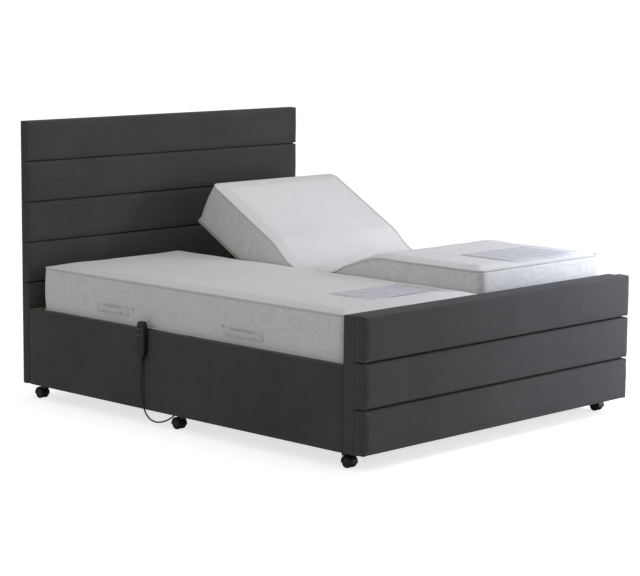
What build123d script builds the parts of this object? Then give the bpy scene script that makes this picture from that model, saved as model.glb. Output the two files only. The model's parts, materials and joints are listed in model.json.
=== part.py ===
"""Dual adjustable bed: a divan base on castors with a padded headboard and footboard. Each half of the
bed has its own hinged deck in four sections, a four-piece mattress and two linear drives. The left half
is modelled flat, and the right half with its back raised and its knees lifted.

Frame: +Z up, +Y towards the headboard, +X to the right-hand sleeper's side, millimetres. The origin is
on the floor, at the centre of the footprint.
"""
from build123d import *
import math
import os

# ---- overall sizes
base_width = 1830.0
inner_length = 2090.0            # headboard face to footboard face
headboard_core_thick = 25.0
headboard_pad_thick = 25.0
footboard_core_thick = 70.0
footboard_pad_thick = 55.0
base_bottom = 70.0
base_top = 440.0
headboard_top = 1345.0
footboard_top = 662.0
pad_gap = 2.0                    # groove between two padded rails
headboard_row = 195.0
headboard_rows = 4

overall_length = (inner_length + headboard_core_thick + headboard_pad_thick
                  + footboard_core_thick + footboard_pad_thick)
head_back_y = overall_length / 2
head_face_y = head_back_y - headboard_core_thick - headboard_pad_thick
foot_front_y = -overall_length / 2
foot_face_y = foot_front_y + footboard_core_thick + footboard_pad_thick
half_width = base_width / 2

# ---- divan boxes
cover_thick = 7.0
board_thick = 18.0
lip = 3.0                        # cover turned over the edges of the side boards
joint_y = 240.0                  # the two halves of the divan meet here
end_clear = 1.0
side_out = half_width - cover_thick
side_in = side_out - board_thick
joint_rail_top = 200.0
batten_depth = 50.0
batten_bottom = 312.0
beam_bottom = 342.0              # steel side beams rest on the battens at this height
centre_rail_half = 55.0
post_size = 60.0
drive_tube_bottom = 267.0
drive_tube_size = 30.0
cleat = 20.0

# ---- deck and mattress
deck_thick = 18.0
hinge_z = 402.0
rail_depth = 40.0
rail_width = 20.0
wall = 2.0
back_hinge_y = 217.5
thigh_hinge_y = -52.5
knee_y = -382.5
deck_head_y = 1000.0
deck_foot_y = -982.0
mattress_head_y = 1007.5
mattress_foot_y = -992.5
mattress_top = 650.0
mattress_outer_x = 888.0
mattress_inner_x = 5.0
deck_outer_x = 886.0
deck_inner_x = 12.0
side_centre = 449.0              # middle of one sleeper's deck
back_range = 60.0                # degrees the back section can rise
thigh_range = 35.0
fold_clear = 3.0
board_gap = {"back": 26.0, "thigh": 16.0, "knee": 8.0}

# ---- deck rails, measured outwards from the middle of a deck
beam_u = (400.0, 420.0)
swing_rail_u = (370.0, 390.0)    # back and thigh rails
calf_rail_u = (345.0, 365.0)
pin_radius = 5.0
pin_clear = 0.15

# ---- lift tubes, arms and drives
lift_tube_radius = 12.5
lift_tube_clear = 0.3
lift_offset_y = 70.0             # lift tube from the hinge, towards the seat
lift_drop = 40.0                 # lift tube below the hinge
arm_reach = {"back": 350.0, "leg": 230.0}
arm_u = 300.0
arm_thick = 8.0
arm_drop = (20.0, 46.0)          # the cranked middle of an arm hangs this far below its own line
hub_radius = 19.0
shoe_radius = 18.4               # shoes stay just under the boards
lever_reach = 80.0
lever_thick = 8.0
lever_width = 36.0
slot_width = 13.0
drive_u = {"back": 90.0, "leg": -90.0}
rod_radius = 10.0
rod_clear = 0.4
rod_length = 190.0
fork_depth = 34.0
fork_cheek = 6.0
fork_gap = 12.0
drive_tube_radius = 17.0
drive_body_length = 200.0
gear_housing = (66.0, 80.0, 92.0)
motor_radius = 24.0
motor_length = 120.0

# ---- castors
castor_x = 860.0
castor_y = {"head": 1032.0, "mid": 40.0, "foot": -978.0}
castor_trail = 22.0
wheel_radius = 25.0
wheel_width = 17.0
web_half = 4.0
hood_inner = 28.0
hood_outer = 31.0
plate_size = 56.0
plate_thick = 4.0
kingpin_radius = 4.0

# ---- handset, its cord and the control box
handset_y = 235.0
handset_width = 50.0
handset_bottom = 312.0
handset_top = 482.0
handset_back_x = -918.0
shell_depth = 13.0
key_radius = 6.0
key_stand = 1.5
key_pocket = 4.0
key_clear = 0.4
key_grid = {
    "back_up": (-11.0, 448.0),
    "back_down": (11.0, 448.0),
    "legs_up": (-11.0, 418.0),
    "legs_down": (11.0, 418.0),
}
cord_radius = 3.5
relief_length = 42.0
box_x = (-810.0, -650.0)
box_y = (-250.0, -10.0)
box_z = (200.0, 256.0)
shelf_x = (-side_in, -640.0)
shelf_y = (-270.0, 0.0)
socket_x = -740.0
socket_z = 232.0
socket_depth = 14.0

# The handset stands out on the left, so the footprint's centre lies a little left of the bed's middle.
handset_front_x = handset_back_x - 2 * shell_depth - key_stand
origin_shift = (-(handset_front_x + half_width) / 2, 0.0, 0.0)

# Resting angles in degrees of each side's back and thigh.
rest_pose = {"left": (0.0, 0.0), "right": (30.0, 17.5)}
side_sign = {"left": -1.0, "right": 1.0}
parts = {}


# ---- small builders
def block(x, y, z):
    """A box from three (low, high) pairs."""
    spans = [sorted(pair) for pair in (x, y, z)]
    sizes = [high - low for low, high in spans]
    centre = [(high + low) / 2 for low, high in spans]
    return Pos(*centre) * Box(*sizes)


def box_tube(x, y, z, along):
    """A rectangular steel tube, open at both ends of its long axis."""
    spans = {"x": sorted(x), "y": sorted(y), "z": sorted(z)}
    inner = {}
    for axis, (low, high) in spans.items():
        grow = 1.0 if axis == along else -wall
        inner[axis] = (low - grow, high + grow)
    return block(spans["x"], spans["y"], spans["z"]) - block(inner["x"], inner["y"], inner["z"])


def rod_x(x, y, z, radius):
    """A round bar along X between two x values."""
    low, high = sorted(x)
    return Pos((low + high) / 2, y, z) * Rot(0, 90, 0) * Cylinder(radius, high - low)


def rod_y(x, y, z, radius):
    """A round bar along Y between two y values."""
    low, high = sorted(y)
    return Pos(x, (low + high) / 2, z) * Rot(90, 0, 0) * Cylinder(radius, high - low)


def profile_x(points, x):
    """A closed outline of (y, z) points, extruded between two x values."""
    low, high = sorted(x)
    outline = Polyline([(low, y, z) for y, z in points], close=True)
    return extrude(make_face(outline), high - low, dir=(1, 0, 0))


def swing(shape, y, z, angle):
    """Turns a shape about the X axis through (y, z)."""
    return Pos(0, y, z) * Rot(angle, 0, 0) * Pos(0, -y, -z) * shape


def keep(name, *shapes):
    """Stores one node made of one or more solids."""
    solids = [solid for shape in shapes for solid in shape.solids()]
    parts[name] = Pos(*origin_shift) * Compound(label=name, children=solids)


def across(side, u):
    """x of a distance u measured outwards from the middle of one sleeper's deck."""
    return side_sign[side] * (side_centre + u)


# ---- motion
def back_turn(side):
    """Rotation about +X of the back section at rest."""
    return rest_pose[side][0]


def thigh_turn(side):
    """Rotation about +X of the thigh section at rest: the knee end rises, so it is negative."""
    return -rest_pose[side][1]


def knee_rise(side):
    """How far the level calf section moves at rest, as (y, z)."""
    reach = knee_y - thigh_hinge_y
    turn = math.radians(thigh_turn(side))
    return reach * (math.cos(turn) - 1), reach * math.sin(turn)


def arm_angle(kind, angle):
    """Angle above level of a lift arm whose shoe just follows the deck section at this angle."""
    a = math.radians(angle)
    lean = (-lift_offset_y * math.sin(a) + lift_drop * math.cos(a)) / arm_reach[kind]
    return angle + math.degrees(math.asin(lean))


def section_range(kind):
    return back_range if kind == "back" else thigh_range


def lever_angle(kind, angle):
    """Lean of the drive lever from straight down, positive when the section is high."""
    middle = (arm_angle(kind, section_range(kind)) + arm_angle(kind, 0.0)) / 2
    return arm_angle(kind, angle) - middle


def rod_travel(kind, angle):
    """Place of the drive's pin along its stroke, from the middle."""
    return lever_reach * math.tan(math.radians(lever_angle(kind, angle)))


def lift_axis_y(kind):
    """The lift tubes lie under the fixed seat section."""
    return back_hinge_y - lift_offset_y if kind == "back" else thigh_hinge_y + lift_offset_y


lift_axis_z = hinge_z - lift_drop
rod_z = lift_axis_z - lever_reach


# ---- headboard and footboard
def headboard():
    core_y = (head_back_y - headboard_core_thick, head_back_y)
    pad_y = (head_face_y, core_y[0])
    core = block((-half_width, half_width), core_y, (base_bottom, headboard_top))
    keep("headboard_core", core)
    rows = []
    top = headboard_top
    for _ in range(headboard_rows):
        rows.append((top - headboard_row + pad_gap, top))
        top -= headboard_row
    rows.append((base_bottom, top))
    keep("headboard_pads", *[block((-half_width, half_width), pad_y, row) for row in rows])


def footboard():
    core_y = (foot_face_y - footboard_core_thick, foot_face_y)
    pad_y = (foot_front_y, core_y[0])
    rail_y = (core_y[0] + board_thick, core_y[1] - board_thick)
    core_top = footboard_top - 6
    rail_bottom = core_top - board_thick
    core = [block((-half_width, half_width), (core_y[0], rail_y[0]), (base_bottom, core_top)),
            block((-half_width, half_width), (rail_y[1], core_y[1]), (base_bottom, core_top)),
            block((-half_width, half_width), rail_y, (rail_bottom, core_top))]
    core += both_sides(half_width - board_thick, half_width, rail_y, (base_bottom, rail_bottom))
    keep("footboard_core", *core)
    row = (footboard_top - base_bottom) / 3
    pads = []
    for n in range(3):
        low = base_bottom + n * row
        high = low + row - (pad_gap if n < 2 else 0)
        pads.append(block((-half_width, half_width), pad_y, (low, high)))
    keep("footboard_pads", *pads)


# ---- timber divan boxes and their upholstered covers
def both_sides(low_x, high_x, y, z):
    return [block((s * low_x, s * high_x), y, z) for s in (-1, 1)]


def head_box():
    low, high = joint_y + end_clear, head_face_y - 2 * end_clear
    inner_high = high - board_thick
    solids = both_sides(side_in, side_out, (low, high), (base_bottom + lip, base_top - lip))
    solids += [block((-side_in, side_in), (inner_high, high), (base_bottom, base_top - lip))]
    solids += [block((-side_in, side_in), (low, low + board_thick), (base_bottom, joint_rail_top))]
    solids += both_sides(side_in - batten_depth, side_in, (low, inner_high), (batten_bottom, beam_bottom))
    solids += [block((-centre_rail_half, centre_rail_half), (low, inner_high),
                     (batten_bottom - 10, beam_bottom))]
    solids += [block((-30, 30), (low, low + post_size), (joint_rail_top, batten_bottom - 10))]
    solids += both_sides(side_in - post_size, side_in, (inner_high - post_size, inner_high),
                         (base_bottom, batten_bottom))
    solids += cleats(rear_y("leg"))
    keep("head_box_frame", *solids)
    keep("head_box_cover", *[side_cover(s, low, high + end_clear) for s in (-1, 1)])


def foot_box():
    low, high = foot_face_y + 2 * end_clear, joint_y - end_clear
    inner_low = low + board_thick
    solids = both_sides(side_in, side_out, (low, high), (base_bottom + lip, base_top - lip))
    solids += [block((-side_in, side_in), (low, inner_low), (base_bottom, base_top - lip))]
    solids += [block((-side_in, side_in), (high - board_thick, high), (base_bottom, joint_rail_top))]
    solids += both_sides(side_in - batten_depth, side_in, (inner_low, high), (batten_bottom, beam_bottom))
    solids += [block((-centre_rail_half, centre_rail_half), (inner_low, high),
                     (batten_bottom - 10, beam_bottom))]
    for post_y in (inner_low + post_size / 2, castor_y["mid"]):
        solids += both_sides(side_in - post_size, side_in,
                             (post_y - post_size / 2, post_y + post_size / 2),
                             (base_bottom, batten_bottom))
    solids += cleats(rear_y("back"))
    solids += [block(shelf_x, shelf_y, (box_z[0] - board_thick, box_z[0]))]
    keep("foot_box_frame", *solids)
    keep("foot_box_cover", *[side_cover(s, low - end_clear, high) for s in (-1, 1)])


def cleats(y):
    """Blocks on the side boards that carry a drive cross tube."""
    return both_sides(side_in - cleat, side_in, (y - cleat, y + cleat),
                      (drive_tube_bottom - cleat, drive_tube_bottom))


def side_cover(sign, low, high):
    """The upholstery on one side board: a padded skin turned over the top and bottom edges."""
    skin = block((sign * side_in, sign * half_width), (low, high), (base_bottom, base_top))
    timber = block((sign * (side_in - 1), sign * side_out), (low - 1, high + 1),
                   (base_bottom + lip, base_top - lip))
    return skin - timber


# ---- steel subframe: the fixed part of both decks
def hinge_lug(x, y, hinge, reach):
    """A flat lug round a hinge pin, joined to the rail on the side that reach points to."""
    lug = rod_x(x, hinge, hinge_z, rail_depth / 2)
    lug += block(x, (hinge, hinge + reach), (hinge_z - rail_depth / 2, hinge_z + rail_depth / 2))
    return lug - rod_x((x[0] - 1, x[1] + 1), hinge, hinge_z, pin_radius + pin_clear)


def span(side, sign, pair):
    """Sorted x values of a rail on the outer (+1) or inner (-1) side of one deck."""
    return sorted((across(side, sign * pair[0]), across(side, sign * pair[1])))


def seat_rail(side, sign):
    x = span(side, sign, beam_u)
    lug_reach = 25.0
    rail = box_tube(x, (thigh_hinge_y + lug_reach, back_hinge_y - lug_reach),
                    (hinge_z - rail_depth / 2, hinge_z + rail_depth / 2), "y")
    rail += hinge_lug(x, 0, back_hinge_y, -lug_reach)
    rail += hinge_lug(x, 0, thigh_hinge_y, lug_reach)
    return rail


def side_beam(side, sign):
    x = span(side, sign, beam_u)
    y = (foot_face_y + board_thick + 4, head_face_y - board_thick - 4)
    beam = box_tube(x, y, (beam_bottom, beam_bottom + rail_depth), "y")
    for kind in ("back", "leg"):
        beam -= rod_x((x[0] - 1, x[1] + 1), lift_axis_y(kind), lift_axis_z,
                      lift_tube_radius + lift_tube_clear)
    return beam


def hinge_pin(side, sign, y, z, low_u, high_u):
    """A pin with a flat head on its outer end."""
    inner, outer = across(side, sign * low_u), across(side, sign * high_u)
    head = across(side, sign * (high_u + 3))
    return rod_x((inner, outer), y, z, pin_radius) + rod_x((outer, head), y, z, pin_radius + 3)


def rear_y(kind):
    """Centre of the cross tube behind a drive."""
    reach = fork_depth + 12 + drive_body_length + gear_housing[1] + 40
    start = lift_axis_y(kind)
    if kind == "back":
        return start + rod_travel(kind, 0.0) - reach
    return start - rod_travel(kind, 0.0) + reach


def subframe():
    solids = []
    tie_half = 20.0
    for side in ("left", "right"):
        for sign in (-1, 1):
            solids += [side_beam(side, sign), seat_rail(side, sign)]
            for y in (back_hinge_y, thigh_hinge_y):
                solids += [hinge_pin(side, sign, y, hinge_z, swing_rail_u[0] - 4, beam_u[1] + 0.5)]
        tie_x = (across(side, -beam_u[0]), across(side, beam_u[0]))
        seat_mid = (lift_axis_y("back") + lift_axis_y("leg")) / 2
        solids += [box_tube(tie_x, (seat_mid - tie_half, seat_mid + tie_half),
                            (hinge_z - rail_depth / 2, hinge_z + rail_depth / 2), "x")]
        for y in (deck_foot_y + 60, deck_head_y - 60):
            solids += [box_tube(tie_x, (y - tie_half, y + tie_half),
                                (beam_bottom, beam_bottom + rail_depth - 1), "x")]
    for kind in ("back", "leg"):
        y = rear_y(kind)
        half = drive_tube_size / 2
        solids += [box_tube((-side_in + 1, side_in - 1), (y - half, y + half),
                            (drive_tube_bottom, drive_tube_bottom + drive_tube_size), "x")]
    keep("steel_subframe", *solids)


# ---- deck boards, swinging frames and mattress sections
def board(side, y):
    x = (side_sign[side] * deck_inner_x, side_sign[side] * deck_outer_x)
    return block(x, y, (base_top - deck_thick, base_top))


def fold_lean(angle):
    """Points of a slanted mattress end at a fold that closes by this angle: offsets at bottom and top."""
    slope = math.tan(math.radians(angle / 2))
    return (fold_clear + (base_top - hinge_z) * slope, fold_clear + (mattress_top - hinge_z) * slope)


def mattress(side, head_bottom, head_top, foot_bottom, foot_top):
    x = (side_sign[side] * mattress_inner_x, side_sign[side] * mattress_outer_x)
    points = [(foot_bottom, base_top), (head_bottom, base_top), (head_top, mattress_top),
              (foot_top, mattress_top)]
    return profile_x(points, x)


def swing_rail(side, sign, pair, hinge, reach, end):
    """A deck rail from its hinge lug to a plain end; reach is the lug's direction."""
    x = span(side, sign, pair)
    rail = hinge_lug(x, 0, hinge, reach)
    return rail + box_tube(x, (hinge + reach, end),
                           (hinge_z - rail_depth / 2, hinge_z + rail_depth / 2), "y")


def cross_bar(side, pair, y):
    """A tube between the inner faces of two rails."""
    return box_tube((across(side, -pair[0]), across(side, pair[0])), (y - 10, y + 10),
                    (hinge_z - rail_depth / 2, hinge_z + rail_depth / 2), "x")


def back_section(side):
    turn = back_turn(side)
    gap = board_gap["back"]
    end = deck_head_y - 12
    deck = board(side, (back_hinge_y + gap, deck_head_y))
    rails = [swing_rail(side, sign, swing_rail_u, back_hinge_y, 25.0, end) for sign in (-1, 1)]
    bars = [cross_bar(side, swing_rail_u, y) for y in (back_hinge_y + 350, end - 10)]
    low, high = fold_lean(back_range)
    soft = mattress(side, mattress_head_y, mattress_head_y, back_hinge_y + low, back_hinge_y + high)
    keep(side + "_back_board", swing(deck, back_hinge_y, hinge_z, turn))
    keep(side + "_back_frame", *[swing(s, back_hinge_y, hinge_z, turn) for s in rails + bars])
    keep(side + "_back_mattress", swing(soft, back_hinge_y, hinge_z, turn))


def seat_section(side):
    deck = board(side, (thigh_hinge_y + board_gap["thigh"], back_hinge_y - board_gap["back"]))
    back_low, back_high = fold_lean(back_range)
    thigh_low, thigh_high = fold_lean(thigh_range)
    soft = mattress(side, back_hinge_y - back_low, back_hinge_y - back_high,
                    thigh_hinge_y + thigh_low, thigh_hinge_y + thigh_high)
    keep(side + "_seat_board", deck)
    keep(side + "_seat_mattress", soft)


def thigh_section(side):
    turn = thigh_turn(side)
    knee_end = knee_y - rail_depth / 2
    deck = board(side, (knee_y + board_gap["knee"], thigh_hinge_y - board_gap["thigh"]))
    rails = []
    for sign in (-1, 1):
        x = span(side, sign, swing_rail_u)
        rail = hinge_lug(x, 0, thigh_hinge_y, -25.0) + hinge_lug(x, 0, knee_y, 25.0)
        rail += box_tube(x, (knee_y + 25, thigh_hinge_y - 25),
                         (hinge_z - rail_depth / 2, hinge_z + rail_depth / 2), "y")
        rails.append(rail)
        rails.append(hinge_pin(side, sign, knee_y, hinge_z, calf_rail_u[0] - 4, swing_rail_u[1] + 0.5))
    bars = [cross_bar(side, swing_rail_u, knee_end + 60)]
    low, high = fold_lean(thigh_range)
    soft = mattress(side, thigh_hinge_y - low, thigh_hinge_y - high, knee_y + fold_clear + 1,
                    knee_y + fold_clear + 1)
    moved = [swing(s, thigh_hinge_y, hinge_z, turn) for s in [deck] + rails + bars]
    keep(side + "_thigh_deck", *moved)
    keep(side + "_thigh_mattress", swing(soft, thigh_hinge_y, hinge_z, turn))


def calf_section(side):
    move = Pos(0, *knee_rise(side))
    end = deck_foot_y + 12
    deck = board(side, (deck_foot_y, knee_y - board_gap["knee"]))
    rails = [swing_rail(side, sign, calf_rail_u, knee_y, -25.0, end) for sign in (-1, 1)]
    bars = [cross_bar(side, calf_rail_u, y) for y in (knee_y - 120, end + 10)]
    soft = mattress(side, knee_y - fold_clear - 1, knee_y - fold_clear - 1, mattress_foot_y,
                    mattress_foot_y)
    keep(side + "_calf_deck", *[move * s for s in [deck] + rails + bars])
    keep(side + "_calf_mattress", move * soft)


# ---- lift tubes and drives
def lift(side, kind):
    """A cross tube with two welded lift arms, their shoes, and a slotted lever that the drive pushes."""
    y, z = lift_axis_y(kind), lift_axis_z
    reach = arm_reach[kind]
    heading = 1.0 if kind == "back" else -1.0
    rest = rest_pose[side][0 if kind == "back" else 1]
    tube = rod_x((across(side, -beam_u[1] + 2), across(side, beam_u[1] - 2)), y, z, lift_tube_radius)
    welded = []
    arm_turn = heading * arm_angle(kind, rest)
    for sign in (-1, 1):
        x = (across(side, sign * arm_u) - arm_thick / 2, across(side, sign * arm_u) + arm_thick / 2)
        bar = cranked_bar(x, y, z, heading, reach) + rod_x(x, y, z, hub_radius)
        tip = rod_x((x[0] - 11, x[1] + 11), y + heading * reach, z, shoe_radius)
        tip -= block((x[0] - 0.2, x[1] + 0.2), (y, y + heading * (reach + 1)), (z - 40, z + 40))
        welded += [swing(bar - tube, y, z, arm_turn), swing(tip, y, z, arm_turn)]
    lever = lever_plate(across(side, drive_u[kind]), y, z)
    welded.append(swing(lever - tube, y, z, heading * lever_angle(kind, rest)))
    keep(side + "_" + kind + "_lift", tube, *welded)


def cranked_bar(x, y, z, heading, reach):
    """The flat bar of a lift arm, cranked down so that it clears the boards at full height."""
    high, low = arm_drop
    outline = [(-14, -6), (14, -6), (26, -high), (reach - 44, -high), (reach - 14, 7), (reach, 7),
               (reach, -8), (reach - 34, -low), (12, -low), (-14, -high)]
    return profile_x([(y + heading * along, z + rise) for along, rise in outline], x)


def lever_plate(x, y, z):
    """A lever hanging straight down, with a slot that takes the drive's pin."""
    wide = (x - lever_thick / 2, x + lever_thick / 2)
    slot_low, slot_high = lever_reach - 4, lever_reach + 13
    foot = lever_reach + 24
    plate = block(wide, (y - lever_width / 2, y + lever_width / 2), (z - foot, z))
    slot = block((wide[0] - 1, wide[1] + 1), (y - slot_width / 2, y + slot_width / 2),
                 (z - slot_high, z - slot_low))
    for end in (slot_low, slot_high):
        slot += rod_x((wide[0] - 1, wide[1] + 1), y, z - end, slot_width / 2)
    return plate - slot


def drive_axis(side, kind):
    """x of the drive, its pin's y at rest, the pin's y with the section flat, and which way it pushes."""
    heading = 1.0 if kind == "back" else -1.0
    rest = rest_pose[side][0 if kind == "back" else 1]
    pin_y = lift_axis_y(kind) + heading * rod_travel(kind, rest)
    flat_y = lift_axis_y(kind) + heading * rod_travel(kind, 0.0)
    return across(side, drive_u[kind]), pin_y, flat_y, heading


def drive_rod(side, kind):
    """The sliding rod with its fork and the pin that rides in the lever's slot."""
    x, pin_y, _, heading = drive_axis(side, kind)
    root_y = pin_y - heading * fork_depth
    bar = rod_y(x, (root_y, root_y - heading * rod_length), rod_z, rod_radius)
    head_x = (x - fork_gap / 2 - fork_cheek, x + fork_gap / 2 + fork_cheek)
    fork = block(head_x, (root_y - heading * 10, pin_y + heading * 14), (rod_z - 14, rod_z + 14))
    fork -= block((x - fork_gap / 2, x + fork_gap / 2), (root_y, pin_y + heading * 15),
                  (rod_z - 15, rod_z + 15))
    pin = rod_x((head_x[0] - 2, head_x[1] + 2), pin_y, rod_z, pin_radius)
    keep(side + "_" + kind + "_drive_rod", bar + fork + pin)


def drive_body(side, kind):
    """The fixed drive: guide tube, gear housing, motor and rear bracket."""
    x, _, flat_y, heading = drive_axis(side, kind)
    front = flat_y - heading * (fork_depth + 12)
    rear = front - heading * drive_body_length
    guide = rod_y(x, (front, rear), rod_z, drive_tube_radius)
    guide += rod_y(x, (front, front - heading * 16), rod_z, drive_tube_radius + 4)
    guide -= rod_y(x, (front + heading, rear - heading), rod_z, rod_radius + rod_clear)
    wide, long, tall = gear_housing
    housing_y = (rear, rear - heading * long)
    housing = block((x - wide / 2, x + wide / 2), housing_y, (rod_z - tall + 32, rod_z + 32))
    housing = fillet(housing.edges().filter_by(Axis.Y), 12)
    motor = rod_y(x, (rear, rear + heading * motor_length), rod_z - 34 - motor_radius / 2 + 6, motor_radius)
    motor -= rod_y(x, (front + heading, rear - heading), rod_z, drive_tube_radius + 6)
    bracket_y = (rear - heading * long, rear - heading * (long + 25))
    bracket = block((x - 15, x + 15), bracket_y, (rod_z - 15, rod_z + 15))
    keep(side + "_" + kind + "_drive", guide, housing, motor, bracket)


# ---- castors
def castor(name, sign, place):
    """A hooded twin-wheel castor that trails away from the bed's middle."""
    x, y = sign * castor_x, castor_y[place]
    trail = castor_trail if place != "foot" else -castor_trail
    wheel_y = y + trail
    wide = wheel_width + web_half + 1.5
    hood = rod_x((x - wide, x + wide), wheel_y, wheel_radius, hood_outer)
    hood -= rod_x((x - wide - 1, x + wide + 1), wheel_y, wheel_radius, hood_inner)
    hood -= block((x - 40, x + 40), (wheel_y - 40, wheel_y + 40), (-20, wheel_radius - 4))
    web = rod_x((x - web_half, x + web_half), wheel_y, wheel_radius, hood_inner + 1)
    web -= block((x - 40, x + 40), (wheel_y - 40, wheel_y + 40), (-20, wheel_radius - 12))
    hood += web
    neck = Pos(x, y, 57.5) * Cylinder(17, 15)
    neck -= rod_x((x - wide - 1, x + wide + 1), wheel_y, wheel_radius, hood_inner)
    hood += neck
    hood -= rod_x((x - 10, x + 10), wheel_y, wheel_radius, 3.3)
    hood -= Pos(x, y, 56) * Cylinder(kingpin_radius + 0.15, 20)
    wheels = rod_x((x - wide + 1.5, x + wide - 1.5), wheel_y, wheel_radius, 3)
    for s in (-1, 1):
        inner = x + s * (web_half + 1.0)
        disc = rod_x((inner, inner + s * wheel_width), wheel_y, wheel_radius, wheel_radius)
        wheels += fillet(disc.edges().filter_by(GeomType.CIRCLE), 3)
    keep(name + "_hood", hood)
    keep(name + "_wheels", wheels)


def castor_plate(x, y):
    """A fixed plate with its kingpin and four screw holes."""
    plate = Pos(x, y, base_bottom - plate_thick / 2) * Box(plate_size, plate_size, plate_thick)
    for dx in (-21, 21):
        for dy in (-21, 21):
            plate -= Pos(x + dx, y + dy, base_bottom - plate_thick / 2) * Cylinder(2.5, plate_thick + 2)
    return plate + Pos(x, y, base_bottom - plate_thick - 7) * Cylinder(kingpin_radius, 16)


def castors():
    plates = []
    for side, sign in side_sign.items():
        for place in castor_y:
            castor("castor_" + side + "_" + place, sign, place)
            plates.append(castor_plate(sign * castor_x, castor_y[place]))
    keep("castor_plates", *plates)


# ---- handset and control box
def handset_outline(x, depth):
    """The handset's outline in the side panel's plane, extruded outwards by depth."""
    half = handset_width / 2
    y = handset_y
    with_taper = Polyline([(x, y - 14, handset_bottom), (x, y + 14, handset_bottom),
                           (x, y + half, handset_bottom + 34), (x, y + half, handset_top - 22),
                           (x, y + 17, handset_top), (x, y - 17, handset_top),
                           (x, y - half, handset_top - 22), (x, y - half, handset_bottom + 34)],
                          close=True)
    body = extrude(make_face(with_taper), depth, dir=(-1, 0, 0))
    return fillet(body.edges().filter_by(Axis.X), 9)


def handset():
    back = handset_outline(handset_back_x, shell_depth)
    hook = block((handset_back_x, handset_back_x + 3), (handset_y - 16, handset_y + 16),
                 (handset_top - 60, base_top + 2))
    hook += block((handset_back_x, -side_in - 0.5), (handset_y - 16, handset_y + 16),
                  (base_top + 0.2, base_top + 2.2))
    back += hook
    relief = Pos(handset_back_x - shell_depth, handset_y, handset_bottom - relief_length / 2)
    back += relief * Cone(cord_radius + 2, 8.5, relief_length)
    back -= block((handset_back_x - shell_depth - 20, handset_back_x - shell_depth),
                  (handset_y - 30, handset_y + 30), (handset_bottom, handset_top))
    split_x = handset_back_x - shell_depth
    front = handset_outline(split_x, shell_depth)
    face_x = split_x - shell_depth
    for name, (dy, z) in key_grid.items():
        pocket = rod_x((face_x - 1, face_x + key_pocket), handset_y + dy, z, key_radius + key_clear)
        front -= pocket
        key = rod_x((face_x - key_stand, face_x + key_pocket - 1.2), handset_y + dy, z, key_radius)
        keep("handset_key_" + name, fillet(key.edges().group_by(Axis.X)[0], 0.8))
    keep("handset_back", back)
    keep("handset_front", front)


cord_start = (handset_back_x - shell_depth, handset_y, handset_bottom - relief_length)
cord_end = (socket_x, box_y[1] + socket_depth, socket_z)
cord_route = [
    cord_start,
    (-931.0, 235.0, 236.0),
    (-932.0, 243.0, 198.0),
    (-930.5, 240.0, 153.0),
    (-931.0, 231.0, 109.0),
    (-929.0, 222.0, 68.0),
    (-915.0, 210.0, 34.0),
    (-889.0, 194.0, 13.0),
    (-854.0, 174.0, 13.0),
    (-820.0, 153.0, 32.0),
    (-792.0, 134.0, 66.0),
    (-770.0, 118.0, 110.0),
    (-755.0, 102.0, 156.0),
    (-744.0, 80.0, 200.0),
    (-740.0, 45.0, 232.0),
    cord_end,
]


def cord_radii(route):
    """The arc at each corner of a cord's route: as large as its two runs allow."""
    radii = []
    for before, here, after in zip(route, route[1:], route[2:]):
        run_in = Vector(*here) - Vector(*before)
        run_out = Vector(*after) - Vector(*here)
        half_turn = math.radians(run_in.get_angle(run_out)) / 2
        radii.append(0.45 * min(run_in.length, run_out.length) / math.tan(half_turn))
    return radii


def cord():
    radii = cord_radii(cord_route)
    path = FilletPolyline(*cord_route, radius=radii)
    start = Plane(origin=cord_route[0], z_dir=Vector(*cord_route[1]) - Vector(*cord_route[0]))
    tube = sweep(start * Circle(cord_radius), path=path)
    keep("handset_cord", tube)
    expected = math.pi * cord_radius ** 2 * path.length
    print("cord radii", [round(r) for r in radii])
    print("cord length", round(path.length, 1), "volume share", round(tube.volume / expected, 4))


def control_box():
    case = block(box_x, box_y, box_z)
    case = fillet(case.edges().filter_by(Axis.Z), 8)
    for n in range(5):
        rib_y = box_y[0] + 40 + 40 * n
        case -= block((box_x[0] + 20, box_x[1] - 20), (rib_y - 3, rib_y + 3), (box_z[1] - 2, box_z[1] + 1))
    inlet = block((box_x[0] - 1, box_x[0] + 16), (box_y[0] + 30, box_y[0] + 54), (box_z[0] + 16, box_z[0] + 34))
    case -= inlet
    gland = rod_y(socket_x, (box_y[1], box_y[1] + socket_depth), socket_z, 9)
    keep("control_box", case, gland)


def main():
    headboard()
    footboard()
    head_box()
    foot_box()
    subframe()
    for side in ("left", "right"):
        back_section(side)
        seat_section(side)
        thigh_section(side)
        calf_section(side)
        for kind in ("back", "leg"):
            lift(side, kind)
            drive_rod(side, kind)
            drive_body(side, kind)
    castors()
    handset()
    cord()
    control_box()
    os.makedirs("parts", exist_ok=True)
    for name, shape in parts.items():
        export_step(shape, "parts/" + name + ".step")
    print(len(parts), "parts")


if __name__ == "__main__":
    main()
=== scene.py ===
import json
import math

import bmesh
import bpy
import numpy as np
from mathutils import Matrix, Vector, noise


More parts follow.
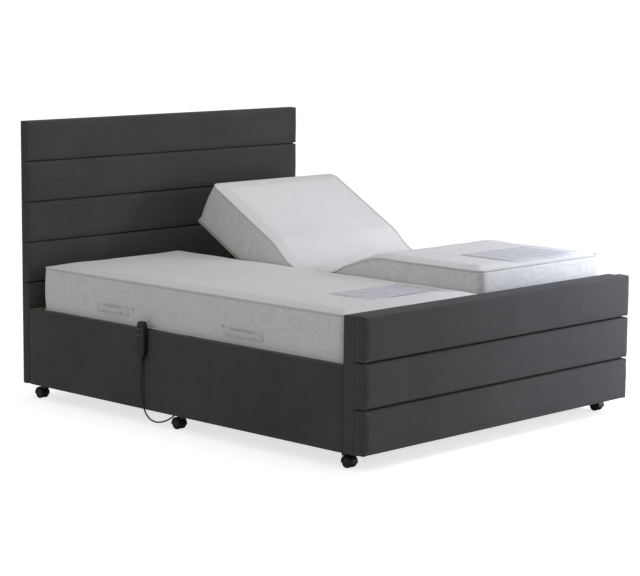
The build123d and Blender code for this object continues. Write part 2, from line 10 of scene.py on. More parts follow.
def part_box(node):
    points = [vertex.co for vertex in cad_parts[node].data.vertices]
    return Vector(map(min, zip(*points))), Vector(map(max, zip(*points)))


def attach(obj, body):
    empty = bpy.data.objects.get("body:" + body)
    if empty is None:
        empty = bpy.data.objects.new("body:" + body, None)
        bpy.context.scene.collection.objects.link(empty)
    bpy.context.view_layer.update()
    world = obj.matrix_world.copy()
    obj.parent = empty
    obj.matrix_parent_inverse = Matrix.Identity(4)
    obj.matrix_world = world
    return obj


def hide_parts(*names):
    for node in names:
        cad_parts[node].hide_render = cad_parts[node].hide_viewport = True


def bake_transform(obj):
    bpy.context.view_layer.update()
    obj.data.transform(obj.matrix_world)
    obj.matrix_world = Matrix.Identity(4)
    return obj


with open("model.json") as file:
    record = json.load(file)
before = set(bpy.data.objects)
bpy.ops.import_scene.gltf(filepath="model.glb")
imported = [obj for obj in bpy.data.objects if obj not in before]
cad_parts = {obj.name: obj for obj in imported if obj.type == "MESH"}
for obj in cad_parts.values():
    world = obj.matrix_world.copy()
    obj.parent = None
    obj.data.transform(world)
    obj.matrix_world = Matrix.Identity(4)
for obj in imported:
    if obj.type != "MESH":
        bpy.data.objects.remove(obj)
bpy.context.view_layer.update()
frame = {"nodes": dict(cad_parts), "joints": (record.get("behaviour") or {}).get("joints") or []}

panelLow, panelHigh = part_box("foot_box_cover")
midX = (panelLow.x + panelHigh.x) / 2      # the bed's own middle line
halfWidth = (panelHigh.x - panelLow.x) / 2
baseBottom, baseTop = panelLow.z, panelHigh.z
sideSign = {"left": -1, "right": 1}


# camera
cameraSet = {
    "place": (-7.106, -6.877, 2.0205),
    "azimuth": -45.95, "pitch": -8.35, "roll": 0.49,
    "lens": 117.82, "sensor": 36,
}


def makeCamera(spec):
    turn, pitch, roll = (math.radians(spec[key]) for key in ("azimuth", "pitch", "roll"))
    ahead = Vector((-math.sin(turn) * math.cos(pitch), math.cos(turn) * math.cos(pitch), math.sin(pitch)))
    level = Vector((math.cos(turn), math.sin(turn), 0))
    upright = level.cross(ahead)
    right = level * math.cos(roll) + upright * math.sin(roll)
    top = upright * math.cos(roll) - level * math.sin(roll)
    data = bpy.data.cameras.new("camera")
    data.lens = spec["lens"]
    data.sensor_width = spec["sensor"]
    camera = bpy.data.objects.new("camera", data)
    bpy.context.collection.objects.link(camera)
    camera.matrix_world = Matrix((right, top, -ahead)).transposed().to_4x4()
    camera.location = spec["place"]
    bpy.context.scene.camera = camera


makeCamera(cameraSet)


# the handset's cord
cordSet = {
    "radius": 0.0035,
    "length": 0.648,
    "route": [
        (-0.931, 0.235, 0.270), (-0.931, 0.235, 0.236), (-0.932, 0.243, 0.198), (-0.9305, 0.240, 0.153),
        (-0.931, 0.231, 0.109), (-0.929, 0.222, 0.068), (-0.915, 0.210, 0.034), (-0.889, 0.194, 0.013),
        (-0.854, 0.174, 0.013), (-0.820, 0.153, 0.032), (-0.792, 0.134, 0.066), (-0.770, 0.118, 0.110),
        (-0.755, 0.102, 0.156), (-0.744, 0.080, 0.200), (-0.740, 0.045, 0.232), (-0.740, 0.004, 0.232),
    ],
}


def makeCord(spec):
    curve = bpy.data.curves.new("handsetCord", "CURVE")
    curve.dimensions = "3D"
    curve.bevel_depth = 1.0                # each point carries the sheath's own radius
    curve.bevel_resolution = 4
    curve.resolution_u = 12
    curve.use_fill_caps = True
    spline = curve.splines.new("NURBS")
    spline.points.add(len(spec["route"]) - 1)
    for point, (x, y, z) in zip(spline.points, spec["route"]):
        point.co = (x + midX, y, z, 1)
        point.radius = spec["radius"]
    spline.order_u = 3
    spline.use_endpoint_u = True
    cord = bpy.data.objects.new("handsetCord", curve)
    bpy.context.collection.objects.link(cord)
    x, y, z = spec["route"][0]
    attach(cord, "root")
    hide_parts("handset_cord")
    return cord


cordPiece = makeCord(cordSet)
print("camera and cord made")


# node helpers
def feed(tree, socket, value):
    if isinstance(value, bpy.types.NodeSocket):
        tree.links.new(value, socket)
    else:
        socket.default_value = value


def add(tree, kind, values=None, **settings):
    node = tree.nodes.new("ShaderNode" + kind)
    for key, value in settings.items():
        setattr(node, key, value)
    for key, value in (values or {}).items():
        feed(tree, node.inputs[key], value)
    return node


def calc(tree, operation, *values, clamp=False):
    node = add(tree, "Math", operation=operation, use_clamp=clamp)
    for socket, value in zip(node.inputs, values):
        feed(tree, socket, value)
    return node.outputs[0]


def stretch(tree, value, low, high, newLow=0.0, newHigh=1.0):
    node = add(tree, "MapRange", {"Value": value, "From Min": low, "From Max": high,
                                  "To Min": newLow, "To Max": newHigh})
    return node.outputs["Result"]


def between(tree, share, first, second):
    node = add(tree, "Mix", data_type="FLOAT")
    for socket, value in zip((node.inputs[0], node.inputs[2], node.inputs[3]), (share, first, second)):
        feed(tree, socket, value)
    return node.outputs[0]


def colored(tree, share, first, second):
    node = add(tree, "Mix", data_type="RGBA")
    for socket, value in zip((node.inputs[0], node.inputs[6], node.inputs[7]), (share, first, second)):
        feed(tree, socket, value)
    return node.outputs[2]


def resized(tree, vector, factor):
    node = add(tree, "VectorMath", operation="MULTIPLY")
    feed(tree, node.inputs[0], vector)
    feed(tree, node.inputs[1], factor)
    return node.outputs[0]


def newGroup(name, inputs, outputs):
    tree = bpy.data.node_groups.new(name, "ShaderNodeTree")
    for label, kind, value in inputs:
        socket = tree.interface.new_socket(label, in_out="INPUT", socket_type="NodeSocket" + kind)
        if value is not None:
            socket.default_value = value
    for label, kind in outputs:
        tree.interface.new_socket(label, in_out="OUTPUT", socket_type="NodeSocket" + kind)
    return tree, tree.nodes.new("NodeGroupInput").outputs, tree.nodes.new("NodeGroupOutput").inputs


def useGroup(tree, group, values):
    node = tree.nodes.new("ShaderNodeGroup")
    node.node_tree = group
    for key, value in values.items():
        feed(tree, node.inputs[key], value)
    return node.outputs


# shared effects
def makeWeave():
    tree, given, result = newGroup(
        "plainWeave",
        [("Vector", "Vector", None), ("Pitch", "Float", 0.002), ("Slub", "Float", 0.5)],
        [("Height", "Float"), ("Tone And Shade", "Float")])
    wander = add(tree, "TexNoise", {"Vector": given["Vector"], "Scale": 45.0, "Detail": 2.0})
    wobble = calc(tree, "MULTIPLY", calc(tree, "SUBTRACT", wander.outputs["Fac"], 0.5), given["Slub"])
    split = add(tree, "SeparateXYZ", {"Vector": given["Vector"]})
    across = calc(tree, "ADD", calc(tree, "DIVIDE", split.outputs["X"], given["Pitch"]), wobble)
    along = calc(tree, "SUBTRACT", calc(tree, "DIVIDE", split.outputs["Y"], given["Pitch"]), wobble)
    column, row = calc(tree, "FLOOR", across), calc(tree, "FLOOR", along)
    over = calc(tree, "PINGPONG", calc(tree, "ADD", column, row), 1.0)
    warp = calc(tree, "ABSOLUTE", calc(tree, "SINE", calc(tree, "MULTIPLY", across, math.pi)))
    weft = calc(tree, "ABSOLUTE", calc(tree, "SINE", calc(tree, "MULTIPLY", along, math.pi)))
    warpUp = calc(tree, "MULTIPLY", warp, stretch(tree, weft, 0.0, 1.0, 0.45, 1.0))
    weftUp = calc(tree, "MULTIPLY", weft, stretch(tree, warp, 0.0, 1.0, 0.45, 1.0))
    height = between(tree, over, warpUp, weftUp)
    feed(tree, result["Height"], height)
    warpTone = add(tree, "TexWhiteNoise", {"W": column}, noise_dimensions="1D").outputs["Value"]
    weftTone = add(tree, "TexWhiteNoise", {"W": calc(tree, "ADD", row, 0.5)}, noise_dimensions="1D")
    threadTone = between(tree, over, warpTone, weftTone.outputs["Value"])
    # each thread's own tone, darkened where the weave sinks: painted shade in the hollows between threads
    toneWithShade = calc(tree, "MULTIPLY", stretch(tree, threadTone, 0.0, 1.0, 0.55, 1.0),
               stretch(tree, height, 0.0, 1.0, 0.45, 1.0))
    feed(tree, result["Tone And Shade"], toneWithShade)
    return tree


def makeTicking():
    # a fine knit with a raised trailing pattern, worked from the contour lines of slow noise
    tree, given, result = newGroup(
        "knitTicking",
        [("Vector", "Vector", None), ("Pitch", "Float", 0.0016), ("Pattern Size", "Float", 7.0)],
        [("Height", "Float"), ("Pattern", "Float")])
    split = add(tree, "SeparateXYZ", {"Vector": given["Vector"]})
    waleAcross = calc(tree, "DIVIDE", split.outputs["X"], given["Pitch"])
    slant = calc(tree, "ABSOLUTE", calc(tree, "SINE", calc(tree, "MULTIPLY", waleAcross, math.pi)))
    stitchRow = calc(tree, "ADD", calc(tree, "DIVIDE", split.outputs["Y"], given["Pitch"]), slant)
    loop = calc(tree, "ABSOLUTE", calc(tree, "SINE", calc(tree, "MULTIPLY", stitchRow, math.pi)))
    knit = calc(tree, "MULTIPLY", slant, stretch(tree, loop, 0.0, 1.0, 0.4, 1.0))
    slow = add(tree, "TexNoise", {"Vector": given["Vector"], "Scale": given["Pattern Size"], "Detail": 0.0,
                                  "Distortion": 0.8})
    rings = calc(tree, "PINGPONG", calc(tree, "MULTIPLY", slow.outputs["Fac"], 7.0), 0.5)
    line = add(tree, "MapRange", {"Value": rings, "From Min": 0.02, "From Max": 0.30},
               interpolation_type="SMOOTHSTEP").outputs["Result"]
    feed(tree, result["Pattern"], line)
    feed(tree, result["Height"], calc(tree, "ADD", calc(tree, "MULTIPLY", line, 0.8),
                                      calc(tree, "MULTIPLY", knit, 0.22)))
    return tree


def makeMottle():
    tree, given, result = newGroup(
        "mottle",
        [("Vector", "Vector", None), ("Size", "Float", 0.2), ("Fine", "Float", 8.0)],
        [("Value", "Float")])
    scale = calc(tree, "DIVIDE", 1.0, given["Size"])
    broad = add(tree, "TexNoise", {"Vector": given["Vector"], "Scale": scale, "Detail": 4.0,
                                   "Roughness": 0.6})
    fineScale = calc(tree, "MULTIPLY", scale, given["Fine"])
    fine = add(tree, "TexNoise", {"Vector": given["Vector"], "Scale": fineScale, "Detail": 2.0})
    feed(tree, result["Value"], calc(tree, "ADD", calc(tree, "MULTIPLY", broad.outputs["Fac"], 0.7),
                                     calc(tree, "MULTIPLY", fine.outputs["Fac"], 0.3)))
    return tree


def makeGrain():
    tree, given, result = newGroup(
        "woodGrain",
        [("Vector", "Vector", None), ("Ring", "Float", 0.02)],
        [("Figure", "Float"), ("Pores", "Float")])
    drawn = resized(tree, given["Vector"], (1.0, 0.06, 1.0))
    warp = add(tree, "TexNoise", {"Vector": drawn, "Scale": 7.0, "Detail": 5.0, "Roughness": 0.6})
    split = add(tree, "SeparateXYZ", {"Vector": drawn})
    reach = calc(tree, "ADD", calc(tree, "MULTIPLY", split.outputs["Z"], 0.5),
                 calc(tree, "MULTIPLY", warp.outputs["Fac"], 0.25))
    feed(tree, result["Figure"], calc(tree, "PINGPONG", calc(tree, "DIVIDE", reach, given["Ring"]), 1.0))
    pores = add(tree, "TexNoise", {"Vector": drawn, "Scale": 700.0, "Detail": 1.0})
    feed(tree, result["Pores"], stretch(tree, pores.outputs["Fac"], 0.5, 0.68))
    return tree


def makePebble():
    tree, given, result = newGroup(
        "mouldedPebble",
        [("Vector", "Vector", None), ("Scale", "Float", 1500.0)],
        [("Height", "Float")])
    cells = add(tree, "TexVoronoi", {"Vector": given["Vector"], "Scale": given["Scale"]})
    softScale = calc(tree, "MULTIPLY", given["Scale"], 0.4)
    soft = add(tree, "TexNoise", {"Vector": given["Vector"], "Scale": softScale})
    feed(tree, result["Height"], calc(tree, "ADD", calc(tree, "MULTIPLY", cells.outputs["Distance"], 0.6),
                                      calc(tree, "MULTIPLY", soft.outputs["Fac"], 0.4)))
    return tree


def makeWear():
    # how sharply the surface turns, broken up by noise
    tree, given, result = newGroup(
        "edgeWear",
        [("Vector", "Vector", None), ("Radius", "Float", 0.002)],
        [("Mask", "Float")])
    rounded = add(tree, "Bevel", {"Radius": given["Radius"]}, samples=4)
    plain = add(tree, "NewGeometry")
    facing = add(tree, "VectorMath", operation="DOT_PRODUCT")
    feed(tree, facing.inputs[0], rounded.outputs["Normal"])
    feed(tree, facing.inputs[1], plain.outputs["Normal"])
    sharp = stretch(tree, facing.outputs["Value"], 0.99, 0.8)
    broken = add(tree, "TexNoise", {"Vector": given["Vector"], "Scale": 90.0, "Detail": 3.0})
    feed(tree, result["Mask"], calc(tree, "MULTIPLY", sharp, stretch(tree, broken.outputs["Fac"], 0.4, 0.65)))
    return tree


def makeDust():
    tree, given, result = newGroup(
        "settledDust",
        [("Vector", "Vector", None), ("Amount", "Float", 0.5)],
        [("Mask", "Float")])
    plain = add(tree, "NewGeometry")
    split = add(tree, "SeparateXYZ", {"Vector": plain.outputs["Normal"]})
    facesUp = stretch(tree, split.outputs["Z"], 0.3, 1.0)
    lint = add(tree, "TexNoise", {"Vector": given["Vector"], "Scale": 260.0, "Detail": 4.0, "Roughness": 0.7})
    spots = stretch(tree, lint.outputs["Fac"], 0.45, 0.75)
    settled = calc(tree, "MULTIPLY", facesUp, spots)
    feed(tree, result["Mask"], calc(tree, "MULTIPLY", settled, given["Amount"]))
    return tree


weave, ticking, mottle = makeWeave(), makeTicking(), makeMottle()
grain, pebble, wear, dust = makeGrain(), makePebble(), makeWear(), makeDust()


def clothCoords(tree):
    return add(tree, "UVMap", uv_map="metres").outputs["UV"]


def objectCoords(tree):
    return add(tree, "TexCoord").outputs["Object"]


def raiseSurface(tree, height, distance, strength=1.0):
    bump = add(tree, "Bump", {"Height": height, "Distance": distance, "Strength": strength})
    return bump.outputs["Normal"]


def newMaterial(name, roughness, **fixed):
    material = bpy.data.materials.new(name)
    material.use_nodes = True
    tree = material.node_tree
    shader = tree.nodes["Principled BSDF"]
    shader.inputs["Roughness"].default_value = roughness
    for key, value in fixed.items():
        shader.inputs[key.replace("_", " ")].default_value = value
    return material, tree, shader.inputs


# materials
def shade(color, factor):
    return tuple(factor * part for part in color[:3]) + (1,)


def makeUpholstery(name, dark, light, pitch):
    material, tree, shader = newMaterial(name, 0.95, Sheen_Weight=0.10, Sheen_Roughness=0.5)
    place = clothCoords(tree)
    cloth = useGroup(tree, weave, {"Vector": place, "Pitch": pitch, "Slub": 0.9})
    patches = useGroup(tree, mottle, {"Vector": objectCoords(tree), "Size": 0.35, "Fine": 40.0})["Value"]
    drawn = resized(tree, place, (1.0, 5.0, 1.0))
    flecks = add(tree, "TexNoise", {"Vector": drawn, "Scale": 130.0, "Detail": 3.0})
    # the weave's output carries painted shade in its hollows, mixed with the cloth's own mottling and flecks
    toneAndShade = calc(tree, "ADD", calc(tree, "MULTIPLY", cloth["Tone And Shade"], 0.55),
                calc(tree, "ADD", calc(tree, "MULTIPLY", patches, 0.55),
                     calc(tree, "MULTIPLY", flecks.outputs["Fac"], 0.35)))
    cloudAndShade = colored(tree, stretch(tree, toneAndShade, 0.45, 1.05), dark, light)
    lint = useGroup(tree, dust, {"Vector": objectCoords(tree), "Amount": 0.10})["Mask"]
    feed(tree, shader["Base Color"], colored(tree, lint, cloudAndShade, (0.22, 0.22, 0.21, 1)))
    feed(tree, shader["Roughness"], stretch(tree, cloth["Height"], 0.0, 1.0, 1.0, 0.86))
    fuzz = add(tree, "TexNoise", {"Vector": place, "Scale": 2600.0, "Detail": 2.0})
    height = calc(tree, "ADD", cloth["Height"], calc(tree, "MULTIPLY", fuzz.outputs["Fac"], 0.35))
    feed(tree, shader["Normal"], raiseSurface(tree, height, 0.0006, 0.8))
    return material


def makeTickingCloth(name, ground, raised, patternHeight):
    material, tree, shader = newMaterial(name, 0.85, Sheen_Weight=0.25, Sheen_Roughness=0.4)
    place = clothCoords(tree)
    knit = useGroup(tree, ticking, {"Vector": place, "Pitch": 0.0018, "Pattern Size": 7.0})
    patches = useGroup(tree, mottle, {"Vector": place, "Size": 0.5, "Fine": 60.0})["Value"]
    pattern = colored(tree, knit["Pattern"], ground, raised)
    soiled = colored(tree, stretch(tree, patches, 0.35, 0.75), pattern, (0.70, 0.70, 0.69, 1))
    feed(tree, shader["Base Color"], colored(tree, 0.35, pattern, soiled))
    feed(tree, shader["Roughness"], stretch(tree, knit["Pattern"], 0.0, 1.0, 0.92, 0.7))
    feed(tree, shader["Normal"], raiseSurface(tree, knit["Height"], patternHeight, 0.9))
    return material


def makeTape(name, color):
    material, tree, shader = newMaterial(name, 0.8, Sheen_Weight=0.3)
    place = clothCoords(tree)
    cloth = useGroup(tree, weave, {"Vector": place, "Pitch": 0.0012, "Slub": 0.2})
    # the weave's output darkens the tape where its threads sink: painted shade in the hollows
    feed(tree, shader["Base Color"], colored(tree, cloth["Tone And Shade"], shade(color, 0.72), color))
    feed(tree, shader["Normal"], raiseSurface(tree, cloth["Height"], 0.0004))
    return material


def makeWood(name, pale, deep, ring):
    material, tree, shader = newMaterial(name, 0.6)
    place = objectCoords(tree)
    figure = useGroup(tree, grain, {"Vector": place, "Ring": ring})
    worn = useGroup(tree, wear, {"Vector": place, "Radius": 0.003})["Mask"]
    lint = useGroup(tree, dust, {"Vector": place, "Amount": 0.3})["Mask"]
    streaked = colored(tree, stretch(tree, figure["Figure"], 0.0, 1.0, 0.15, 0.6), pale, deep)
    pored = colored(tree, calc(tree, "MULTIPLY", figure["Pores"], 0.5), streaked, shade(deep, 0.5))
    edged = colored(tree, worn, pored, (0.78, 0.68, 0.52, 1))
    feed(tree, shader["Base Color"], colored(tree, lint, edged, (0.55, 0.53, 0.5, 1)))
    feed(tree, shader["Roughness"], stretch(tree, figure["Pores"], 0.0, 1.0, 0.5, 0.8))
    closed = calc(tree, "SUBTRACT", 1.0, figure["Pores"])
    feed(tree, shader["Normal"], raiseSurface(tree, closed, 0.0003, 0.5))
    return material


def makeSteel(name, color, metallic, roughness, flecked):
    material, tree, shader = newMaterial(name, roughness)
    shader["Metallic"].default_value = metallic
    place = objectCoords(tree)
    skin = useGroup(tree, pebble, {"Vector": place, "Scale": 900.0 if flecked else 250.0})["Height"]
    worn = useGroup(tree, wear, {"Vector": place, "Radius": 0.0015})["Mask"]
    patches = useGroup(tree, mottle, {"Vector": place, "Size": 0.06, "Fine": 12.0})["Value"]
    lint = useGroup(tree, dust, {"Vector": place, "Amount": 0.35 if flecked else 0.1})["Mask"]
    tint = colored(tree, stretch(tree, patches, 0.3, 0.7), shade(color, 0.75), color)
    edged = colored(tree, worn, tint, (0.42, 0.42, 0.43, 1))
    feed(tree, shader["Base Color"], colored(tree, lint, edged, (0.35, 0.34, 0.33, 1)))
    feed(tree, shader["Roughness"], stretch(tree, patches, 0.3, 0.7, roughness * 0.8, roughness * 1.25))
    feed(tree, shader["Normal"], raiseSurface(tree, skin, 0.0002 if flecked else 0.00004))
    return material


def makePlastic(name, color, roughness, scale, height, specular=0.5):
    material, tree, shader = newMaterial(name, roughness)
    shader["Specular IOR Level"].default_value = specular
    place = objectCoords(tree)
    skin = useGroup(tree, pebble, {"Vector": place, "Scale": scale})["Height"]
    patches = useGroup(tree, mottle, {"Vector": place, "Size": 0.03, "Fine": 10.0})["Value"]
    worn = useGroup(tree, wear, {"Vector": place, "Radius": 0.0008})["Mask"]
    lint = useGroup(tree, dust, {"Vector": place, "Amount": 0.12})["Mask"]
    tint = colored(tree, stretch(tree, patches, 0.3, 0.7), shade(color, 0.8), color)
    lighter = tuple(min(1.0, 2.0 * v + 0.01) for v in color[:3]) + (1,)
    edged = colored(tree, calc(tree, "MULTIPLY", worn, 0.6), tint, lighter)
    feed(tree, shader["Base Color"], colored(tree, lint, edged, (0.25, 0.25, 0.25, 1)))
    feed(tree, shader["Roughness"], stretch(tree, patches, 0.3, 0.7, roughness * 0.85, roughness * 1.2))
    feed(tree, shader["Normal"], raiseSurface(tree, skin, height))
    return material


def makeLabel(name, ground, mark):
    material, tree, shader = newMaterial(name, 0.55, Sheen_Weight=0.3)
    place = clothCoords(tree)
    cloth = useGroup(tree, weave, {"Vector": place, "Pitch": 0.001, "Slub": 0.1})
    flower = add(tree, "TexVoronoi", {"Vector": place, "Scale": 13.0, "Randomness": 0.35})
    petal = stretch(tree, flower.outputs["Distance"], 0.30, 0.36, 1.0, 0.0)
    color = colored(tree, calc(tree, "MULTIPLY", petal, 0.7), ground, mark)
    # the weave's output, with its painted shade in the hollows, lifts the raised threads towards the ground
    # colour
    feed(tree, shader["Base Color"], colored(tree, calc(tree, "MULTIPLY", cloth["Tone And Shade"], 0.3), color, ground))
    feed(tree, shader["Normal"], raiseSurface(tree, cloth["Height"], 0.0003))
    return material


charcoal = makeUpholstery("charcoalWeave", (0.023, 0.0235, 0.024, 1), (0.080, 0.081, 0.083, 1), 0.0021)
tickingTop = makeTickingCloth("tickingTop", (0.86, 0.86, 0.86, 1), (0.88, 0.88, 0.88, 1), 0.0009)
tickingBorder = makeTickingCloth("tickingBorder", (0.72, 0.72, 0.725, 1), (0.77, 0.77, 0.775, 1), 0.0006)
tapeCloth = makeTape("tapeEdge", (0.84, 0.84, 0.83, 1))
labelCloth = makeLabel("wovenLabel", (0.74, 0.74, 0.79, 1), (0.56, 0.56, 0.68, 1))
liningCloth = makeTape("backLining", (0.018, 0.018, 0.019, 1))
timberWood = makeWood("softwood", (0.52, 0.36, 0.20, 1), (0.36, 0.22, 0.11, 1), 0.018)
deckWood = makeWood("deckBoard", (0.64, 0.60, 0.52, 1), (0.52, 0.46, 0.36, 1), 0.03)
paintedSteel = makeSteel("paintedSteel", (0.030, 0.031, 0.033, 1), 0.0, 0.42, True)
brightSteel = makeSteel("brightSteel", (0.56, 0.57, 0.58, 1), 1.0, 0.28, False)
stapleSteel = makeSteel("stapleSteel", (0.60, 0.60, 0.62, 1), 1.0, 0.35, False)
driveShell = makePlastic("driveShell", (0.035, 0.036, 0.038, 1), 0.5, 1400.0, 0.00015)
castorShell = makePlastic("castorShell", (0.010, 0.010, 0.011, 1), 0.38, 1600.0, 0.00012)
treadRubber = makePlastic("treadRubber", (0.016, 0.016, 0.016, 1), 0.75, 900.0, 0.0002, 0.3)
handsetShell = makePlastic("handsetShell", (0.010, 0.010, 0.011, 1), 0.42, 2200.0, 0.0001)
keyRubber = makePlastic("keyRubber", (0.055, 0.056, 0.06, 1), 0.7, 1800.0, 0.0001, 0.35)
markPaint = makePlastic("keyMark", (0.55, 0.55, 0.55, 1), 0.6, 1800.0, 0.00004, 0.4)
cordSheath = makePlastic("cordSheath", (0.009, 0.009, 0.0095, 1), 0.5, 700.0, 0.0001)
cordPiece.data.materials.append(cordSheath)
print("materials made")


# mesh helpers
def smooth(share):
    share = np.clip(share, 0.0, 1.0)
    return share * share * (3 - 2 * share)


def gridLines(low, high, step, offsets, extra=()):
    # close lines near both ends for the rounding, an even step between them
    inner = max(offsets)
    count = max(1, round((high - low - 2 * inner) / step))
    even = np.linspace(low + inner, high - inner, count + 1)
    for place in extra:
        even[np.argmin(abs(even - place))] = place
    near = sorted(offset for offset in offsets if offset < inner)
    return np.array([low + v for v in near] + list(even) + [high - v for v in reversed(near)])


def roundOffsets(radius):
    return (0.0, 0.423 * radius, 0.732 * radius, radius)


def boxGrid(xs, ys, zs):
    # the surface of a box as a lattice of points and quads that face outwards
    lines = (np.asarray(xs), np.asarray(ys), np.asarray(zs))
    counts = [len(line) for line in lines]
    outer = np.zeros(counts, bool)
    outer[0], outer[-1], outer[:, 0], outer[:, -1], outer[:, :, 0], outer[:, :, -1] = (True,) * 6
    index = -np.ones(counts, int)
    index[outer] = np.arange(outer.sum())
    where = np.argwhere(outer)
    points = np.stack([lines[axis][where[:, axis]] for axis in range(3)], 1)
    faces = []
    for axis in range(3):
        for end in (0, -1):
            sheet = np.take(index, end, axis)
            corners = [sheet[:-1, :-1], sheet[1:, :-1], sheet[1:, 1:], sheet[:-1, 1:]]
            quads = np.stack(corners, -1).reshape(-1, 4)
            outwards = (end == -1) != (axis == 1)
            faces.append(quads if outwards else quads[:, ::-1])
    return points, np.concatenate(faces)


def roundBox(points, radius, low=None, high=None):
    low = points.min(0) if low is None else np.array(low)
    high = points.max(0) if high is None else np.array(high)
    inner = np.clip(points, low + radius, high - radius)
    away = points - inner
    reach = np.linalg.norm(away, axis=1, keepdims=True)
    return inner + np.where(reach > 1e-9, away * radius / np.maximum(reach, 1e-9), 0)


def giveMetres(mesh):
    # a map in metres, laid flat on each face's main side, so that the weave keeps its size
    points = np.array([v.co for v in mesh.vertices])
    layer = mesh.uv_layers.get("metres") or mesh.uv_layers.new(name="metres")
    values = np.zeros((len(mesh.loops), 2))
    pick = {0: (1, 2), 1: (0, 2), 2: (0, 1)}
    for face in mesh.polygons:
        axis = int(np.argmax(np.abs(face.normal)))
        loops = list(face.loop_indices)
        corners = [mesh.loops[n].vertex_index for n in loops]
        values[loops] = points[corners][:, pick[axis]]
    layer.data.foreach_set("uv", values.ravel())


def makePiece(name, points, faces, materials, body=None, slot=None, nodes=(), metres=True, indices=None):
    mesh = bpy.data.meshes.new(name)
    shifted = np.array(points) + np.array((midX, 0, 0))
    mesh.from_pydata(shifted.tolist(), [], [list(map(int, face)) for face in faces])
    for material in materials:
        mesh.materials.append(material)
    if indices is not None:
        mesh.polygons.foreach_set("material_index", np.asarray(indices, np.int32))
    mesh.shade_smooth()
    mesh.update()
    if metres:
        giveMetres(mesh)
    piece = bpy.data.objects.new(name, mesh)
    bpy.context.collection.objects.link(piece)
    if body:
        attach(piece, body)
    if nodes:
        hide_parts(*nodes)
    return piece


def joined(*sets):
    # several (points, faces, material index) sets as one
    points, faces, indices, start = [], [], [], 0
    for setPoints, setFaces, index in sets:
        points.append(np.asarray(setPoints, float))
        faces += [[int(n) + start for n in face] for face in setFaces]
        indices += [index] * len(setFaces) if np.isscalar(index) else list(index)
        start += len(setPoints)
    return np.concatenate(points), faces, indices


def ringFaces(a, b, count):
    # quads between two rings of points, whose first points are a and b
    return [[a + k, b + k, b + (k + 1) % count, a + (k + 1) % count] for k in range(count)]


def prismFaces(count):
    # sides and ends of a prism whose two outlines follow each other
    sides = [[k, (k + 1) % count, count + (k + 1) % count, count + k] for k in range(count)]
    return sides + [list(range(count))[::-1], [count + k for k in range(count)]]


def sheetFaces(rows, cols):
    # quads over a sheet of points laid out row by row
    return [[r * cols + c, r * cols + c + 1, (r + 1) * cols + c + 1, (r + 1) * cols + c]
            for r in range(rows - 1) for c in range(cols - 1)]


def tube(path, radius, sides=8, closed=False):
    # a round tube along a list of points
    path = np.asarray(path, float)
    count = len(path)
    before = np.roll(path, 1, 0) if closed else np.vstack([path[:1], path[:-1]])
    after = np.roll(path, -1, 0) if closed else np.vstack([path[1:], path[-1:]])
    heading = after - before
    heading /= np.maximum(np.linalg.norm(heading, axis=1, keepdims=True), 1e-9)
    side = np.cross(heading, (0, 0, 1.0))
    flat = np.linalg.norm(side, axis=1) < 1e-3
    side[flat] = (1, 0, 0)
    side /= np.linalg.norm(side, axis=1, keepdims=True)
    upwards = np.cross(side, heading)
    turns = np.arange(sides) * 2 * math.pi / sides
    ring = np.cos(turns)[None, :, None] * side[:, None] + np.sin(turns)[None, :, None] * upwards[:, None]
    points = (path[:, None] + radius * ring).reshape(-1, 3)
    faces = []
    for n in range(count if closed else count - 1):
        faces += ringFaces(n * sides, (n + 1) % count * sides, sides)
    if not closed:
        faces += [list(range(sides)), list(range((count - 1) * sides, count * sides))[::-1]]
    return points, faces


def turned(profile, middle, axis=2, sides=24):
    # a profile of (radius, height) pairs turned about an axis through a point
    points, faces = [], []
    for n in range(sides):
        turn = 2 * math.pi * n / sides
        for radius, height in profile:
            flat = (radius * math.cos(turn), radius * math.sin(turn), height)
            points.append(flat if axis == 2 else (flat[2], flat[0], flat[1]))
    count = len(profile)
    for n in range(sides):
        a, b = n * count, (n + 1) % sides * count
        for k in range(count - 1):
            faces.append([a + k, b + k, b + k + 1, a + k + 1])
    return np.array(points) + np.array(middle), faces


def soften(piece, width, segments=2, angle=35):
    bevel = piece.modifiers.new("softEdges", "BEVEL")
    bevel.width, bevel.segments = width, segments
    bevel.limit_method = "ANGLE"
    bevel.angle_limit = math.radians(angle)


def subdivide(piece, levels=1):
    finer = piece.modifiers.new("finer", "SUBSURF")
    finer.levels = finer.render_levels = levels


clothSet = {"quality": 5, "mass": 0.3, "bending": 0.4, "frames": 20}


def inflate(piece, pinned, pressure, cap, stiffness=15.0):
    # cloth under air pressure, each point's travel held under the cap
    scene = bpy.context.scene
    mesh = piece.data
    start = np.array([v.co for v in mesh.vertices])
    group = piece.vertex_groups.new(name="held")
    group.add([int(n) for n in np.flatnonzero(pinned)], 1.0, "REPLACE")
    cloth = piece.modifiers.new("cloth", "CLOTH")
    cloth.settings.quality = clothSet["quality"]
    cloth.settings.mass = clothSet["mass"]
    cloth.settings.tension_stiffness = stiffness
    cloth.settings.compression_stiffness = stiffness
    cloth.settings.shear_stiffness = stiffness / 3
    cloth.settings.bending_stiffness = clothSet["bending"]
    cloth.settings.vertex_group_mass = "held"
    cloth.settings.use_pressure = True
    cloth.settings.uniform_pressure_force = pressure
    cloth.settings.effector_weights.gravity = 0
    cloth.collision_settings.use_collision = False
    cloth.point_cache.frame_start, cloth.point_cache.frame_end = 1, clothSet["frames"]
    for step in range(1, clothSet["frames"] + 1):
        scene.frame_set(step)
    graph = bpy.context.evaluated_depsgraph_get()
    puffed = np.array([v.co for v in piece.evaluated_get(graph).data.vertices])
    travel = puffed - start
    reach = np.maximum(np.linalg.norm(travel, axis=1, keepdims=True), 1e-9)
    held = start + travel / reach * cap * np.tanh(reach / cap)
    piece.modifiers.remove(cloth)
    piece.vertex_groups.clear()
    mesh.vertices.foreach_set("co", held.ravel())
    mesh.update()
    scene.frame_set(1)


def ripple(points, size, height, seed=0.0):
    # slow unevenness of stuffing
    return np.array([noise.noise(Vector(p) / size + Vector((seed, seed, seed))) for p in points]) * height


